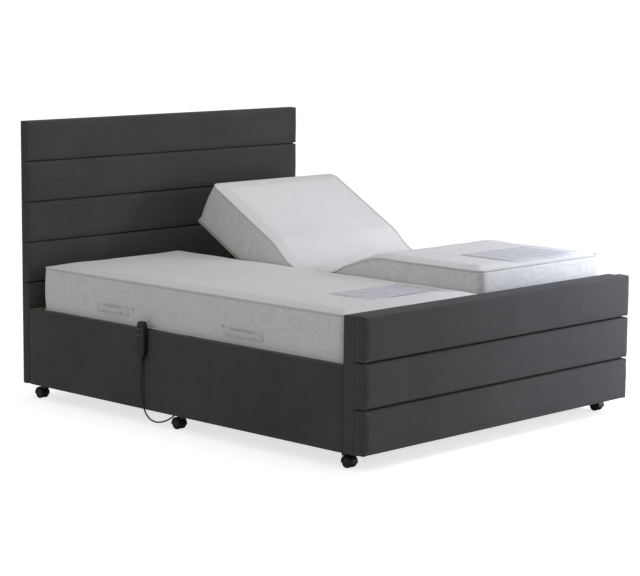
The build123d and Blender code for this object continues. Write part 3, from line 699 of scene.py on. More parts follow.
# headboard and footboard
boardSet = {
    "headboard": {"front": 1.0825, "back": 1.1075, "radius": 0.004, "crown": 0.0016,
                  "cap": 0.0028, "pressure": 2.5},
    "footboard": {"front": -1.1325, "back": -1.0775, "radius": 0.0065, "crown": 0.0030,
                  "cap": 0.0040, "pressure": 3.0},
    "step": 0.015,
    "inset": 0.0008,
}


def railHeights(node):
    # the padded rails' (low, high) heights, read from the frame's separate solids
    mesh = frame["nodes"][node].data
    heights = sorted({round(v.co.z, 4) for v in mesh.vertices})
    return [(heights[n], heights[n + 1]) for n in range(0, len(heights) - 1, 2)]


def makeRail(spec, low, high, seed):
    inset = boardSet["inset"]
    xLow, xHigh = -halfWidth + inset, halfWidth - inset
    front, back = spec["front"] + inset, spec["back"]
    radius = min(spec["radius"], (high - low) / 2.4)
    offsets = roundOffsets(radius)
    points, faces = boxGrid(gridLines(xLow, xHigh, boardSet["step"], offsets),
                            gridLines(front, back + radius, boardSet["step"], offsets),
                            gridLines(low + inset / 2, high - inset / 2, boardSet["step"], offsets))
    points = roundBox(points, radius)
    # crowned face: fullest in the middle of the rail
    tall = np.sin(math.pi * np.clip((points[:, 2] - low) / (high - low), 0, 1)) ** 0.7
    frontShare = smooth((back - points[:, 1]) / (back - front))
    points[:, 1] -= spec["crown"] * tall * frontShare
    points[:, 1] += ripple(points, 0.22, 0.0016, seed) * frontShare
    ends = smooth((abs(points[:, 0]) - (xHigh - radius * 1.5)) / (radius * 1.5))
    points[:, 0] += np.sign(points[:, 0]) * ends * 0.5 * spec["crown"] * tall
    keepBack = points[:, 1] > back - 0.001
    points[:, 1] = np.minimum(points[:, 1], back)
    return points, faces, keepBack


def makeRails(name, node, spec):
    sets, pins = [], []
    for number, (low, high) in enumerate(railHeights(node)):
        points, faces, pinned = makeRail(spec, low, high, 3.1 * number)
        sets.append((points, faces, 0))
        pins.append(pinned)
    points, faces, _ = joined(*sets)
    piece = makePiece(name, points, faces, [charcoal])
    inflate(piece, np.concatenate(pins), spec["pressure"], spec["cap"])
    subdivide(piece)
    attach(piece, "root")
    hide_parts(node)
    return piece


makeRails("headboardRails", "headboard_pads", boardSet["headboard"])
makeRails("footboardRails", "footboard_pads", boardSet["footboard"])
print("padded rails made")


def makeWrappedCore(name, node, radius):
    # a board wrapped in the same cloth, drawn a little soft between its edges
    low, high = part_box(node)
    low, high = np.array(low) - (midX, 0, 0), np.array(high) - (midX, 0, 0)
    offsets = roundOffsets(radius)
    points, faces = boxGrid(*(gridLines(low[axis], high[axis], 0.02, offsets) for axis in range(3)))
    points = roundBox(points, radius)
    inner = np.minimum(points - low, high - points)
    flatness = smooth(np.sort(inner, axis=1)[:, 1] / 0.03)
    points[:, 1] += ripple(points, 0.12, 0.0011) * flatness * np.sign(points[:, 1] - (low[1] + high[1]) / 2)
    piece = makePiece(name, points, faces, [charcoal], "root", "charcoal_fabric", [node])
    subdivide(piece)
    return low, high


headLow, headHigh = makeWrappedCore("headboardCore", "headboard_core", 0.005)
makeWrappedCore("footboardCore", "footboard_core", 0.008)


liningSet = {"margin": 0.022, "step": 0.02, "stand": 0.0008, "staple": 0.011, "stapleGap": 0.055,
             "stapleRim": 0.007}


def makeLining(spec):
    # a thin dark cloth stapled over the headboard's back
    margin, face = spec["margin"], headHigh[1] + spec["stand"]
    xs = np.arange(-halfWidth + margin, halfWidth - margin + 1e-6, spec["step"])
    zs = np.linspace(headLow[2] + margin, headHigh[2] - margin, 62)
    grid = np.array([(x, face, z) for z in zs for x in xs])
    loose = np.minimum.reduce([xs.max() - abs(grid[:, 0]), grid[:, 2] - zs.min(), zs.max() - grid[:, 2]])
    grid[:, 1] += ripple(grid, 0.09, 0.0012) * smooth(loose / 0.05) + 0.0010 * smooth(loose / 0.05)
    faces = [quad[::-1] for quad in sheetFaces(len(zs), len(xs))]
    lining = makePiece("headboardLining", grid, faces, [liningCloth], "root", "charcoal_fabric")
    rim, gap = spec["stapleRim"], spec["stapleGap"]
    alongX, alongZ = (np.arange(line[0] + 0.03, line[-1], gap) for line in (xs, zs))
    places = [(x, z, True) for x in alongX for z in (zs[0] + rim, zs[-1] - rim)]
    places += [(x, z, False) for z in alongZ for x in (xs[0] + rim, xs[-1] - rim)]
    sets = []
    for x, z, level in places:
        half = spec["staple"] / 2
        a, b = ((x - half, z), (x + half, z)) if level else ((x, z - half), (x, z + half))
        path = [(a[0], face - 0.001, a[1]), (a[0], face + 0.0009, a[1]),
                (b[0], face + 0.0009, b[1]), (b[0], face - 0.001, b[1])]
        sets.append((*tube(path, 0.0005, 5), 0))
    staples = makePiece("headboardStaples", *joined(*sets)[:2], [stapleSteel], "root", "bright_steel")


makeLining(liningSet)
print("boards wrapped")


# upholstered sides of the base
coverSet = {"thick": 0.027, "stand": 0.0012, "radius": 0.006, "crown": 0.0018, "cap": 0.0022,
            "step": 0.016, "tuck": 0.0008, "rim": 0.006, "facing": 0.004, "pressure": 1.5, "stiffness": 25.0}


def makeSideCover(low, high, sign, seed):
    outer = halfWidth - coverSet["stand"]
    inner = outer - coverSet["thick"]
    radius = coverSet["radius"]
    offsets = roundOffsets(radius)
    points, faces = boxGrid(gridLines(inner, outer, 0.008, offsets),
                            gridLines(low, high, coverSet["step"], offsets),
                            gridLines(baseBottom, baseTop, coverSet["step"], offsets))
    points = roundBox(points, radius)
    tall = smooth((points[:, 2] - baseBottom) / 0.05) * smooth((baseTop - points[:, 2]) / 0.05)
    far = smooth((points[:, 1] - low) / 0.05) * smooth((high - points[:, 1]) / 0.05)
    outwards = smooth((points[:, 0] - inner) / (outer - inner))
    points[:, 0] += outwards * tall * far * (coverSet["crown"] + ripple(points, 0.25, 0.0012, seed))
    rim = coverSet["rim"]
    pinned = (points[:, 2] > baseTop - rim) | (points[:, 2] < baseBottom + rim)
    pinned |= points[:, 0] < outer - coverSet["facing"]
    if sign < 0:
        points[:, 0] *= -1
        faces = faces[:, ::-1]
    return points, faces, pinned


def makeBoxCover(name, node, seed):
    low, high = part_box(node)
    tuck = coverSet["tuck"]
    sets, pins = [], []
    for sign in (-1, 1):
        points, faces, pinned = makeSideCover(low.y - tuck, high.y + tuck, sign, seed + sign)
        sets.append((points, faces, 0))
        pins.append(pinned)
    points, faces, _ = joined(*sets)
    piece = makePiece(name, points, faces, [charcoal])
    inflate(piece, np.concatenate(pins), coverSet["pressure"], coverSet["cap"], coverSet["stiffness"])
    subdivide(piece)
    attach(piece, "root")
    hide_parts(node)


makeBoxCover("headBoxCover", "head_box_cover", 1.7)
makeBoxCover("footBoxCover", "foot_box_cover", 8.3)
print("base covered")


# mattresses
mattressSet = {
    "outerX": 0.888, "innerX": 0.005, "headY": 1.0075, "footY": -0.9925, "bottom": 0.440, "top": 0.650,
    "edge": 0.016, "corner": 0.038, "step": 0.011,
    "crown": 0.017, "crownReach": 0.075, "bulge": 0.0055, "tape": 0.0047,
    # hollows under the bends: depth, start along Y with its reach, end with its reach
    "hollows": ((0.024, 0.225, 0.06, 0.50, 0.08), (0.014, -0.25, 0.05, -0.050, 0.05),
                (0.008, -0.53, 0.08, -0.255, 0.05)),
    "cuts": (0.030, -0.240), "backEnd": 0.480, "calfEnd": -0.515,
    "hingeZ": 0.402, "backHinge": 0.2175, "thighHinge": -0.0525, "knee": -0.3825,
    "vents": ((0.346, 0.521), (-0.262, 0.513)),
    "handles": ((-0.502, -0.269, 0.495), (0.381, 0.581, 0.505)),
    "label": {"left": ((-0.573, -0.111), (-0.850, -0.600)), "right": ((0.279, 0.723), (-0.950, -0.640))},
}


def restAngle(name):
    for joint in frame["joints"]:
        if joint["name"] == name:
            return -joint["range_deg"][0]
    return 0.0


def bulgeAt(share):
    return mattressSet["bulge"] * np.sin(math.pi * np.clip(share, 0, 1)) ** 0.8 - 0.002


def mattressTop(x, y, low, high):
    spec = mattressSet
    near = min(x - low[0], high[0] - x, y - low[1], high[1] - y)
    return spec["top"] - 0.004 + spec["crown"] * smooth(near / spec["crownReach"])


def shapeMattress(points, low, high, seed):
    # the box lattice becomes a crowned mattress with rounded corners and a bulging border
    spec = mattressSet
    corner, edge = spec["corner"], spec["edge"]
    lowXY, highXY = np.array(low[:2]), np.array(high[:2])
    inner = np.clip(points[:, :2], lowXY + corner, highXY - corner)
    away = points[:, :2] - inner
    square = np.abs(away).max(1)
    border = np.where(square > 1e-9, corner - square, 1.0)
    height = np.minimum(points[:, 2] - low[2], high[2] - points[:, 2])
    rounding = (border < edge) & (height < edge)
    u, v = edge - border, edge - height
    reach = np.maximum(np.hypot(u, v), 1e-9)
    border2 = np.where(rounding, edge - edge * u / reach, border)
    height2 = np.where(rounding, edge - edge * v / reach, height)
    length = np.maximum(np.linalg.norm(away, axis=1), 1e-9)
    heading = away / length[:, None]
    plan = np.where(square[:, None] > 1e-9, inner + heading * (corner - border2)[:, None], points[:, :2])
    upper = points[:, 2] > (low[2] + high[2]) / 2
    z = np.where(upper, high[2] - height2, low[2] + height2)
    share = (z - low[2]) / (high[2] - low[2])
    side = smooth((edge * 0.6 - border2) / (edge * 0.6))
    push = (bulgeAt(share) + ripple(np.c_[plan, z], 0.14, 0.0022, seed) * np.sin(math.pi * share)) * side
    plan = plan + heading * push[:, None] * (square[:, None] > 1e-9)
    near = np.minimum(plan - lowXY, highXY - plan).min(1)
    crown = spec["crown"] * smooth(near / spec["crownReach"]) - 0.004
    topShare = smooth((share - 0.86) / 0.14)
    z = z + topShare * (crown + ripple(np.c_[plan, z * 0], 0.16, 0.0028, seed + 5) * smooth(near / 0.05))
    under = np.where(upper, 0.0, 1.0) * smooth((near - 0.010) / 0.02) * smooth((0.02 - height2) / 0.02)
    y = plan[:, 1]
    hollow = sum(depth * smooth((y - start) / startReach) * smooth((end - y) / endReach)
                 for depth, start, startReach, end, endReach in spec["hollows"])
    return np.c_[plan, z + under * hollow]


def borderPath(low, high, inset, z, step=0.012):
    corner = mattressSet["corner"] - inset
    x0, x1, y0, y1 = low[0] + inset, high[0] - inset, low[1] + inset, high[1] - inset
    points = []
    for cx, cy, start in ((x1 - corner, y0 + corner, -90), (x1 - corner, y1 - corner, 0),
                          (x0 + corner, y1 - corner, 90), (x0 + corner, y0 + corner, 180)):
        for n in range(7):
            turn = math.radians(start + 15 * n)
            points.append((cx + corner * math.cos(turn), cy + corner * math.sin(turn), z))
    whole = []
    for a, b in zip(points, points[1:] + points[:1]):
        count = max(1, round(math.dist(a, b) / step))
        marks = [n / count for n in range(count)]
        for cut in mattressSet["cuts"]:
            if (a[1] - cut) * (b[1] - cut) < 0:
                marks.append((cut - a[1]) / (b[1] - a[1]))
        for mark in sorted(marks):
            place = tuple(p + (q - p) * mark for p, q in zip(a, b))
            close = bool(whole) and math.dist(place, whole[-1]) <= 0.0015
            onCut = any(abs(place[1] - cut) < 1e-6 for cut in mattressSet["cuts"])
            if close and onCut:
                whole.pop()
            if onCut or not close:
                whole.append(place)
    return whole


def vent(y, z, outerX, sign):
    profile = [(0.0028, -0.004), (0.0030, 0.0010), (0.0045, 0.0022),
               (0.0075, 0.0024), (0.0092, 0.0010), (0.0095, -0.002)]
    points, faces = turned(profile, (0, 0, 0), axis=0, sides=18)
    points = points * (sign, 1, 1) + (sign * (outerX + 0.0028), y, z)
    return points, faces if sign > 0 else [face[::-1] for face in faces]


def handle(yLow, yHigh, z, outerX, sign):
    # a webbing strap, sewn flat at both ends and standing off between them
    marks = np.linspace(0, 1, 25)
    stand = 0.0045 + 0.011 * smooth((0.5 - abs(marks - 0.5) - 0.12) / 0.2)
    wide, thick = 0.014, 0.0028
    points, faces = [], []
    for mark, out in zip(marks, stand):
        y = yLow + (yHigh - yLow) * mark
        for dx, dz in ((0, -wide), (thick, -wide * 0.9), (thick, wide * 0.9), (0, wide)):
            points.append((sign * (outerX + out + dx), y, z + dz))
    for n in range(len(marks) - 1):
        faces += ringFaces(4 * n, 4 * n + 4, 4)
    faces += [[3, 2, 1, 0], [4 * len(marks) - 4 + k for k in range(4)]]
    sets = [(points, faces if sign < 0 else [f[::-1] for f in faces], 0)]
    for y in (yLow + 0.016, yHigh - 0.016):
        # the sewn patch at each end
        patch, quads = boxGrid(*(np.linspace(-half, half, 5) for half in (0.003, 0.024, 0.021)))
        patch = roundBox(patch, 0.0028)
        sets.append((patch + (sign * (outerX + 0.0045), y, z), quads, 0))
    points, faces, _ = joined(*sets)
    return points, faces


def labelPatch(spanX, spanY, low, high):
    # a thin patch that follows the crown
    xs = gridLines(*spanX, 0.02, (0.0, 0.004))
    ys = gridLines(*spanY, 0.02, (0.0, 0.004))
    points = np.array([(x, y, mattressTop(x, y, low, high) + 0.0012) for y in ys for x in xs])
    lowest, highest = np.array((spanX, spanY)).T
    rim = np.minimum(points[:, :2] - lowest, highest - points[:, :2]).min(1)
    points[:, 2] += 0.0012 * smooth(rim / 0.004) + 0.0004
    return points, sheetFaces(len(ys), len(xs))


def turnPoints(points, angles, pivot):
    # turns about +X through (y, z), one angle in radians for each point
    y, z = points[:, 1] - pivot[0], points[:, 2] - pivot[1]
    c, s = np.cos(angles), np.sin(angles)
    return np.c_[points[:, 0], pivot[0] + y * c - z * s, pivot[1] + y * s + z * c]


def bendLimits(angle, pivot, heading, startY, endY, endIsCut):
    # where the bend starts and ends along its direction, so that whole cuts stay on one body
    spec = mattressSet
    heights = np.array([spec["bottom"] - 0.002, spec["top"] + 0.02])
    place = np.array(pivot)
    first = np.c_[[startY] * 2, heights] - place
    start = float((first @ heading).max())
    last = np.c_[[0, 0], [endY] * 2, heights if endIsCut else [0.53] * 2]
    turnedLast = turnPoints(last, np.array([angle] * 2), pivot)[:, 1:] - place
    return start, float((turnedLast @ heading).min())


def solveBend(flat, angle, pivot, heading, start, end):
    # the resting shape whose own weights bring it back to flat
    place = np.array(pivot)
    rest = flat.copy()
    for _ in range(60 if abs(angle) > 1e-9 else 1):
        along = (rest[:, 1:] - place) @ heading
        weights = smooth((along - start) / (end - start))
        rest = turnPoints(flat, weights * angle, pivot)
    return rest


def makeMattress(side):
    spec = mattressSet
    sign = sideSign[side]
    xs = sorted((sign * spec["innerX"], sign * spec["outerX"]))
    low, high = (xs[0], spec["footY"], spec["bottom"]), (xs[1], spec["headY"], spec["top"])
    edges = roundOffsets(spec["edge"]) + (0.024, 0.031, spec["corner"])
    points, faces = boxGrid(gridLines(low[0], high[0], spec["step"], edges),
                            gridLines(low[1], high[1], spec["step"], edges, spec["cuts"]),
                            gridLines(low[2], high[2], spec["step"] * 1.3, roundOffsets(spec["edge"])))
    middles = points[faces].mean(1)
    material = np.where(middles[:, 2] > high[2] - 1e-6, 0, np.where(middles[:, 2] < low[2] + 1e-6, 3, 1))
    cutHere = [np.abs(points[:, 1] - cut) < 1e-9 for cut in spec["cuts"]]
    shaped = shapeMattress(points, low, high, 2.0 + sign)
    for cut, mask in zip(spec["cuts"], cutHere):
        shaped[mask, 1] = cut
    sets = [(shaped, faces, material)]
    for z in (high[2] - 0.0055, low[2] + 0.0055):
        ring, quads = tube(borderPath(low, high, 0.0035, z), spec["tape"], 8, True)
        sets.append((ring, quads, 2))
    sets.append((*labelPatch(*spec["label"][side], low, high), 4))
    for y, z in spec["vents"]:
        sets.append((*vent(y, z, spec["outerX"], sign), 5))
    for yLow, yHigh, z in spec["handles"]:
        sets.append((*handle(yLow, yHigh, z, spec["outerX"], sign), 2))
    flat, faces, indices = joined(*sets)
    backAngle, thighAngle = restAngle(side + "_back_hinge"), restAngle(side + "_thigh_hinge")
    splitMattress(side, flat, faces, np.array(indices), math.radians(backAngle), math.radians(-thighAngle))


def splitMattress(side, flat, faces, indices, backTurn, thighTurn):
    spec = mattressSet
    middles = np.array([flat[face, 1].mean() for face in faces])
    upper, lower = spec["cuts"]
    zones = {"Head": middles > upper, "Middle": (middles <= upper) & (middles > lower),
             "Foot": middles <= lower}
    hinge, thigh, knee = ((spec[key], spec["hingeZ"]) for key in ("backHinge", "thighHinge", "knee"))
    replaced = {"Head": ("back",), "Middle": ("seat", "thigh"), "Foot": ("calf",)}
    # turn, hinge, where the bend may start and end, and whether it ends at a cut; the calf is first solved
    # with the thigh flat, and turns back by the thigh's own angle
    bends = {
        "Head": (backTurn, hinge, 1, (upper, spec["backEnd"]), False),
        "Middle": (thighTurn, thigh, -1, (upper, lower), True),
        "Foot": (-thighTurn, knee, -1, (lower, spec["calfEnd"]), False),
    }
    for zone, mask in zones.items():
        chosen = np.flatnonzero(mask)
        used = sorted({n for k in chosen for n in faces[k]})
        renumber = {n: k for k, n in enumerate(used)}
        part = flat[used]
        partFaces = [[renumber[n] for n in faces[k]] for k in chosen]
        angle, pivot, forwards, ends, isCut = bends[zone]
        # the bend runs along the line halfway between its two legs
        heading = np.array((forwards * math.cos(angle / 2), forwards * math.sin(angle / 2)))
        start, end = bendLimits(angle, pivot, heading, *ends, isCut)
        rest = solveBend(part, angle, pivot, heading, start, end)
        limits = np.array([[0, *(np.array(pivot) + heading * reach)] for reach in (start, end)])
        if zone == "Foot":
            rest = turnPoints(rest, np.full(len(rest), thighTurn), thigh)
            limits = turnPoints(limits, np.full(2, thighTurn), thigh)
        piece = makePiece(side + "Mattress" + zone, part, partFaces,
                          [tickingTop, tickingBorder, tapeCloth, tickingBorder, labelCloth, brightSteel],
                          indices=indices[chosen])
        shifted = rest + np.array((midX, 0, 0))
        piece.data.vertices.foreach_set("co", shifted.ravel())
        piece.data.update()
        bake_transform(piece)
        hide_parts(*(side + "_" + name + "_mattress" for name in replaced[zone]))


makeMattress("left")
makeMattress("right")
print("mattresses made")


# handset
handsetSet = {
    "y": 0.235, "low": 0.312, "high": 0.482, "width": 0.050, "backX": -0.918, "depth": 0.013, "corner": 0.009,
    "keyRadius": 0.006, "keyStand": 0.0015, "keyWell": 0.0068,
    "keys": {"back_up": (-0.011, 0.448), "back_down": (0.011, 0.448),
             "legs_up": (-0.011, 0.418), "legs_down": (0.011, 0.418)},
    "relief": 0.042, "hookHalf": 0.0165, "boardIn": -0.8895,
}


def handsetOutline(inset=0.0):
    # the outline in (y, z) as an even ring, its corners rounded
    spec = handsetSet
    half = spec["width"] / 2
    low, high = spec["low"], spec["high"]
    corners = [(-0.014, low), (0.014, low), (half, low + 0.034), (half, high - 0.022),
               (0.017, high), (-0.017, high), (-half, high - 0.022), (-half, low + 0.034)]
    ring = []
    for n, here in enumerate(corners):
        before, after = Vector(corners[n - 1]), Vector(corners[(n + 1) % len(corners)])
        here = Vector(here)
        toBefore, toAfter = (before - here).normalized(), (after - here).normalized()
        cut = min(spec["corner"], 0.4 * (before - here).length, 0.4 * (after - here).length)
        a, b = here + toBefore * cut, here + toAfter * cut
        for k in range(5):
            t = k / 4
            ring.append((1 - t) ** 2 * a + 2 * t * (1 - t) * here + t * t * b)
    shape = []
    for n, point in enumerate(ring):
        heading = (ring[(n + 1) % len(ring)] - ring[n - 1]).normalized()
        inwards = Vector((-heading.y, heading.x))
        place = point + inwards * inset
        shape.append((place.x + spec["y"], place.y))
    return shape


def shellFromRings(rings):
    # rings of (x, inset) pairs over the handset's outline
    points, faces = [], []
    for x, inset in rings:
        points += [(x, y, z) for y, z in handsetOutline(inset)]
    count = len(points) // len(rings)
    for n in range(len(rings) - 1):
        faces += ringFaces(n * count, (n + 1) * count, count)
    faces.append(list(range(count)))
    faces.append([(len(rings) - 1) * count + k for k in range(count)][::-1])
    return points, faces


def keepOutwards(piece):
    mesh = bmesh.new()
    mesh.from_mesh(piece.data)
    bmesh.ops.recalc_face_normals(mesh, faces=mesh.faces)
    mesh.to_mesh(piece.data)
    mesh.free()
    piece.data.update()


def makeHandset(spec):
    split = spec["backX"] - spec["depth"]
    face = split - spec["depth"]
    rim = [(0.0, 0.0), (0.3, 0.0004), (0.6, 0.0012), (0.85, 0.0024), (0.97, 0.0040), (1.0, 0.0062)]
    front = [(split - 0.0002, 0.0012), (split - 0.0012, 0.0)]
    front += [(split - 0.008 - 0.005 * share, inset) for share, inset in rim]
    piece = makePiece("handsetFront", *shellFromRings(front), [handsetShell, markPaint], "root",
                      "handset_plastic", ["handset_front"], metres=False)
    keepOutwards(piece)
    cutterSets = []
    for dy, z in spec["keys"].values():
        well = [(0.0, -0.0062), (spec["keyWell"], -0.0062), (spec["keyWell"], 0.004), (0.0, 0.004)]
        points, faces = turned(well, (face + 0.002, spec["y"] + dy, z), axis=0, sides=28)
        cutterSets.append((points, faces, 0))
    cutter = makePiece("keyCutter", *joined(*cutterSets)[:2], [], metres=False)
    weldPiece(cutter)
    carve = piece.modifiers.new("wells", "BOOLEAN")
    carve.operation, carve.object, carve.solver = "DIFFERENCE", cutter, "EXACT"
    graph = bpy.context.evaluated_depsgraph_get()
    carved = bpy.data.meshes.new_from_object(piece.evaluated_get(graph))
    piece.modifiers.clear()
    piece.data = carved
    bpy.data.objects.remove(cutter)
    soften(piece, 0.0005, 2, 50)
    carved.shade_smooth()
    smoothByAngle(carved, 40)
    # the back shell, its hanger over the side board and the ribbed relief
    back = [(spec["backX"], 0.0030), (spec["backX"] - 0.0012, 0.0008), (spec["backX"] - 0.0035, 0.0),
            (split + 0.0012, 0.0), (split + 0.0002, 0.0012)]
    sets = [(*shellFromRings(back), 0)]
    boardIn = spec["boardIn"]
    behind, foot = spec["backX"] + 0.0002, spec["high"] - 0.062
    outline = [(behind, foot), (behind, baseTop + 0.0034), (boardIn, baseTop + 0.0034),
               (boardIn, baseTop + 0.0004), (spec["backX"] + 0.003, baseTop + 0.0004),
               (spec["backX"] + 0.0028, foot)]
    strap = [(x, spec["y"] + s * spec["hookHalf"], z) for s in (-1, 1) for x, z in outline]
    sets.append((strap, prismFaces(len(outline)), 0))
    profile = []
    for n in range(15):
        share = n / 14
        height = -spec["relief"] * share
        radius = 0.0084 - 0.0030 * share
        profile.append((radius - (0.0011 if n % 2 and n > 1 else 0.0), height))
    profile = [(0.0, 0.004), (0.0088, 0.004)] + profile + [(0.0036, -spec["relief"])]
    sets.append((*turned(profile, (split, spec["y"], spec["low"]), 2, 24), 0))
    for n in range(4):
        # ribs that stiffen the back shell's flanks
        z = spec["low"] + 0.055 + 0.012 * n
        for s in (-1, 1):
            y = spec["y"] + s * 0.0248
            sets.append((*tube([(spec["backX"] - 0.002, y, z), (split + 0.002, y, z)], 0.0007, 6), 0))
    backPiece = makePiece("handsetBack", *joined(*sets)[:2], [handsetShell], "root",
                          "handset_plastic", ["handset_back"], metres=False)
    keepOutwards(backPiece)
    soften(backPiece, 0.0006, 2, 50)
    smoothByAngle(backPiece.data, 40)
    for name, (dy, z) in spec["keys"].items():
        makeKey(name, face, spec["y"] + dy, z)


def smoothByAngle(mesh, degrees):
    work = bmesh.new()
    work.from_mesh(mesh)
    for edge in work.edges:
        edge.smooth = len(edge.link_faces) == 2 and edge.calc_face_angle(0) < math.radians(degrees)
    for face in work.faces:
        face.smooth = True
    work.to_mesh(mesh)
    work.free()
    mesh.update()


def weldPiece(piece, degrees=38):
    work = bmesh.new()
    work.from_mesh(piece.data)
    bmesh.ops.remove_doubles(work, verts=work.verts, dist=1e-6)
    bmesh.ops.recalc_face_normals(work, faces=work.faces)
    work.to_mesh(piece.data)
    work.free()
    smoothByAngle(piece.data, degrees)


def makeKey(name, face, y, z):
    spec = handsetSet
    radius, stand = spec["keyRadius"], spec["keyStand"]
    profile = [(0.0, 0.0028), (radius, 0.0028), (radius, -stand + 0.0010), (radius - 0.0003, -stand + 0.0004),
               (radius - 0.0010, -stand), (radius * 0.6, -stand + 0.0003), (0.0, -stand + 0.0004)]
    cap, faces = turned(profile, (face, y, z), axis=0, sides=28)
    direction = 1 if name.endswith("up") else -1
    marks = [[(-0.0026, -0.0010), (0.0026, -0.0010), (0.0, 0.0026)]]
    if name.startswith("legs"):
        marks.append([(-0.0026, -0.0026), (0.0026, -0.0026), (0.0026, -0.0018), (-0.0026, -0.0018)])
    sets = [(cap, faces, 0)]
    top = face - stand - 0.00025
    for mark in marks:
        outer = [(top, y + a, z + direction * b) for a, b in mark]
        inner = [(face - stand + 0.0008, b, c) for _, b, c in outer]
        sets.append((outer + inner, prismFaces(len(mark)), 1))
    points, faces, indices = joined(*sets)
    piece = makePiece("key_" + name, points, faces, [keyRubber, markPaint], name + "_key", "key_rubber",
                      ["handset_key_" + name], metres=False, indices=indices)
    weldPiece(piece, 45)


makeHandset(handsetSet)
print("handset made")


# castors
castorSet = {
    "x": 0.860, "y": {"head": 1.032, "mid": 0.040, "foot": -0.978}, "trail": 0.022, "radius": 0.025,
    "wheelWidth": 0.017, "web": 0.004, "hoodOuter": 0.031, "hoodInner": 0.028, "wide": 0.0225,
}


def makeWheels(name, node, body, x, y):
    spec = castorSet
    r, w = spec["radius"], spec["wheelWidth"]
    sets = []
    for s in (-1, 1):
        inner = s * (spec["web"] + 0.001)
        outer = inner + s * w
        def face(share):
            return inner + (outer - inner) * share

        tread = [(0.0, face(0.04)), (r * 0.55, face(0.04)), (r * 0.86, face(0.02)), (r - 0.0016, face(0.03)),
                 (r - 0.0004, face(0.10)), (r, face(0.22)), (r, face(0.50)), (r, face(0.78)),
                 (r - 0.0004, face(0.90)), (r - 0.0016, face(0.98)), (r * 0.86, face(1.0))]
        hub = [(r * 0.86, face(1.0)), (r * 0.80, face(0.985)), (r * 0.78, face(0.90)), (r * 0.50, face(0.86)),
               (r * 0.46, face(0.96)), (r * 0.30, face(1.0)), (r * 0.16, face(1.0)), (r * 0.14, face(0.94)),
               (0.0, face(0.94))]
        # a tread with a soft shoulder, and a dished hub face with a raised boss
        sets.append((*turned(tread, (x, y, r), 0, 40), 0))
        sets.append((*turned(hub, (x, y, r), 0, 40), 1))
        for n in range(6):
            # ribs between the boss and the rim
            turn = math.radians(60 * n)
            rib = [(x + face(0.90), y + reach * math.cos(turn), r + reach * math.sin(turn))
                   for reach in (r * 0.42, r * 0.6, r * 0.79)]
            sets.append((*tube(rib, 0.0011, 6), 1))
    span = spec["wide"] - 0.0018
    half = [(0.0, span), (0.0024, span), (0.0030, span - 0.0006)]
    axle = [(radius, -height) for radius, height in half] + half[::-1]
    sets.append((*turned(axle, (x, y, r), 0, 16), 2))
    points, faces, indices = joined(*sets)
    piece = makePiece(name, points, faces, [treadRubber, castorShell, brightSteel], body,
                      "castor_plastic", [node], metres=False, indices=indices)
    weldPiece(piece)


def makeHood(name, node, body, x, y, wheelY):
    spec = castorSet
    r, wide = spec["radius"], spec["wide"]
    outer, inner = spec["hoodOuter"], spec["hoodInner"]
    across = np.array([-1, -0.93, -0.8, -0.55, -0.25, 0.25, 0.55, 0.8, 0.93, 1]) * wide
    turns = np.radians(np.linspace(-9, 189, 37))
    points = []
    for radius, droop in ((outer, 0.0022), (inner, 0.0)):
        for t in turns:
            for a in across:
                # the outer skin turns down towards both flanks
                reach = radius - droop * abs(a / wide) ** 5
                points.append((x + a, wheelY + reach * math.cos(t), r + reach * math.sin(t)))
    cols, lines = len(across), len(turns)

    def at(layer, t, a):
        return layer * cols * lines + t * cols + a

    faces = []
    for t in range(lines - 1):
        for a in range(cols - 1):
            faces.append([at(0, t, a), at(0, t, a + 1), at(0, t + 1, a + 1), at(0, t + 1, a)])
            faces.append([at(1, t, a), at(1, t + 1, a), at(1, t + 1, a + 1), at(1, t, a + 1)])
        for a in (0, cols - 1):
            faces.append([at(0, t, a), at(0, t + 1, a), at(1, t + 1, a), at(1, t, a)])
    for t in (0, lines - 1):
        for a in range(cols - 1):
            faces.append([at(0, t, a), at(0, t, a + 1), at(1, t, a + 1), at(1, t, a)])
    sets = [(points, faces, 0)]
    # the web between the wheels
    webTurns = np.radians(np.linspace(-26, 206, 30))
    web = [(x + s * spec["web"], wheelY + (inner + 0.001) * math.cos(t), r + (inner + 0.001) * math.sin(t))
           for s in (-1, 1) for t in webTurns]
    sets.append((web, prismFaces(len(webTurns)), 0))
    neck = [(0.0045, 0.050), (0.0172, 0.050), (0.0172, 0.0605), (0.0180, 0.0612),
            (0.0180, 0.0632), (0.0170, 0.0645), (0.0120, 0.0650), (0.0045, 0.0650)]
    sets.append((*turned(neck, (x, y, 0), 2, 32), 0))
    brow = [(x + s * 0.019, wheelY + (outer + 0.0002) * math.cos(t), r + (outer + 0.0002) * math.sin(t))
            for s in (-1, 1) for t in np.radians(np.linspace(-6, 186, 30))]
    for s in range(2):
        sets.append((*tube(brow[s * 30:(s + 1) * 30], 0.0006, 5), 0))
    points, faces, _ = joined(*sets)
    piece = makePiece(name, points, faces, [castorShell], body, "castor_plastic", [node], metres=False)
    weldPiece(piece)
    soften(piece, 0.0004, 2, 50)


def makeCastors(spec):
    for side, sign in sideSign.items():
        for place, y in spec["y"].items():
            node = "castor_" + side + "_" + place
            trail = spec["trail"] if place != "foot" else -spec["trail"]
            x = sign * spec["x"]
            makeHood(node + "Hood", node + "_hood", node + "_fork", x, y, y + trail)
            makeWheels(node + "Wheels", node + "_wheels", node + "_wheel_pair", x, y + trail)


makeCastors(castorSet)
print("castors made")


# finishes on the parts that keep their CAD shape
finishes = {
    "painted_steel": (paintedSteel, 0.0010), "bright_steel": (brightSteel, 0.0005),
    "timber": (timberWood, 0.0015), "deck_board": (deckWood, 0.0015), "drive_plastic": (driveShell, 0.0012),
}


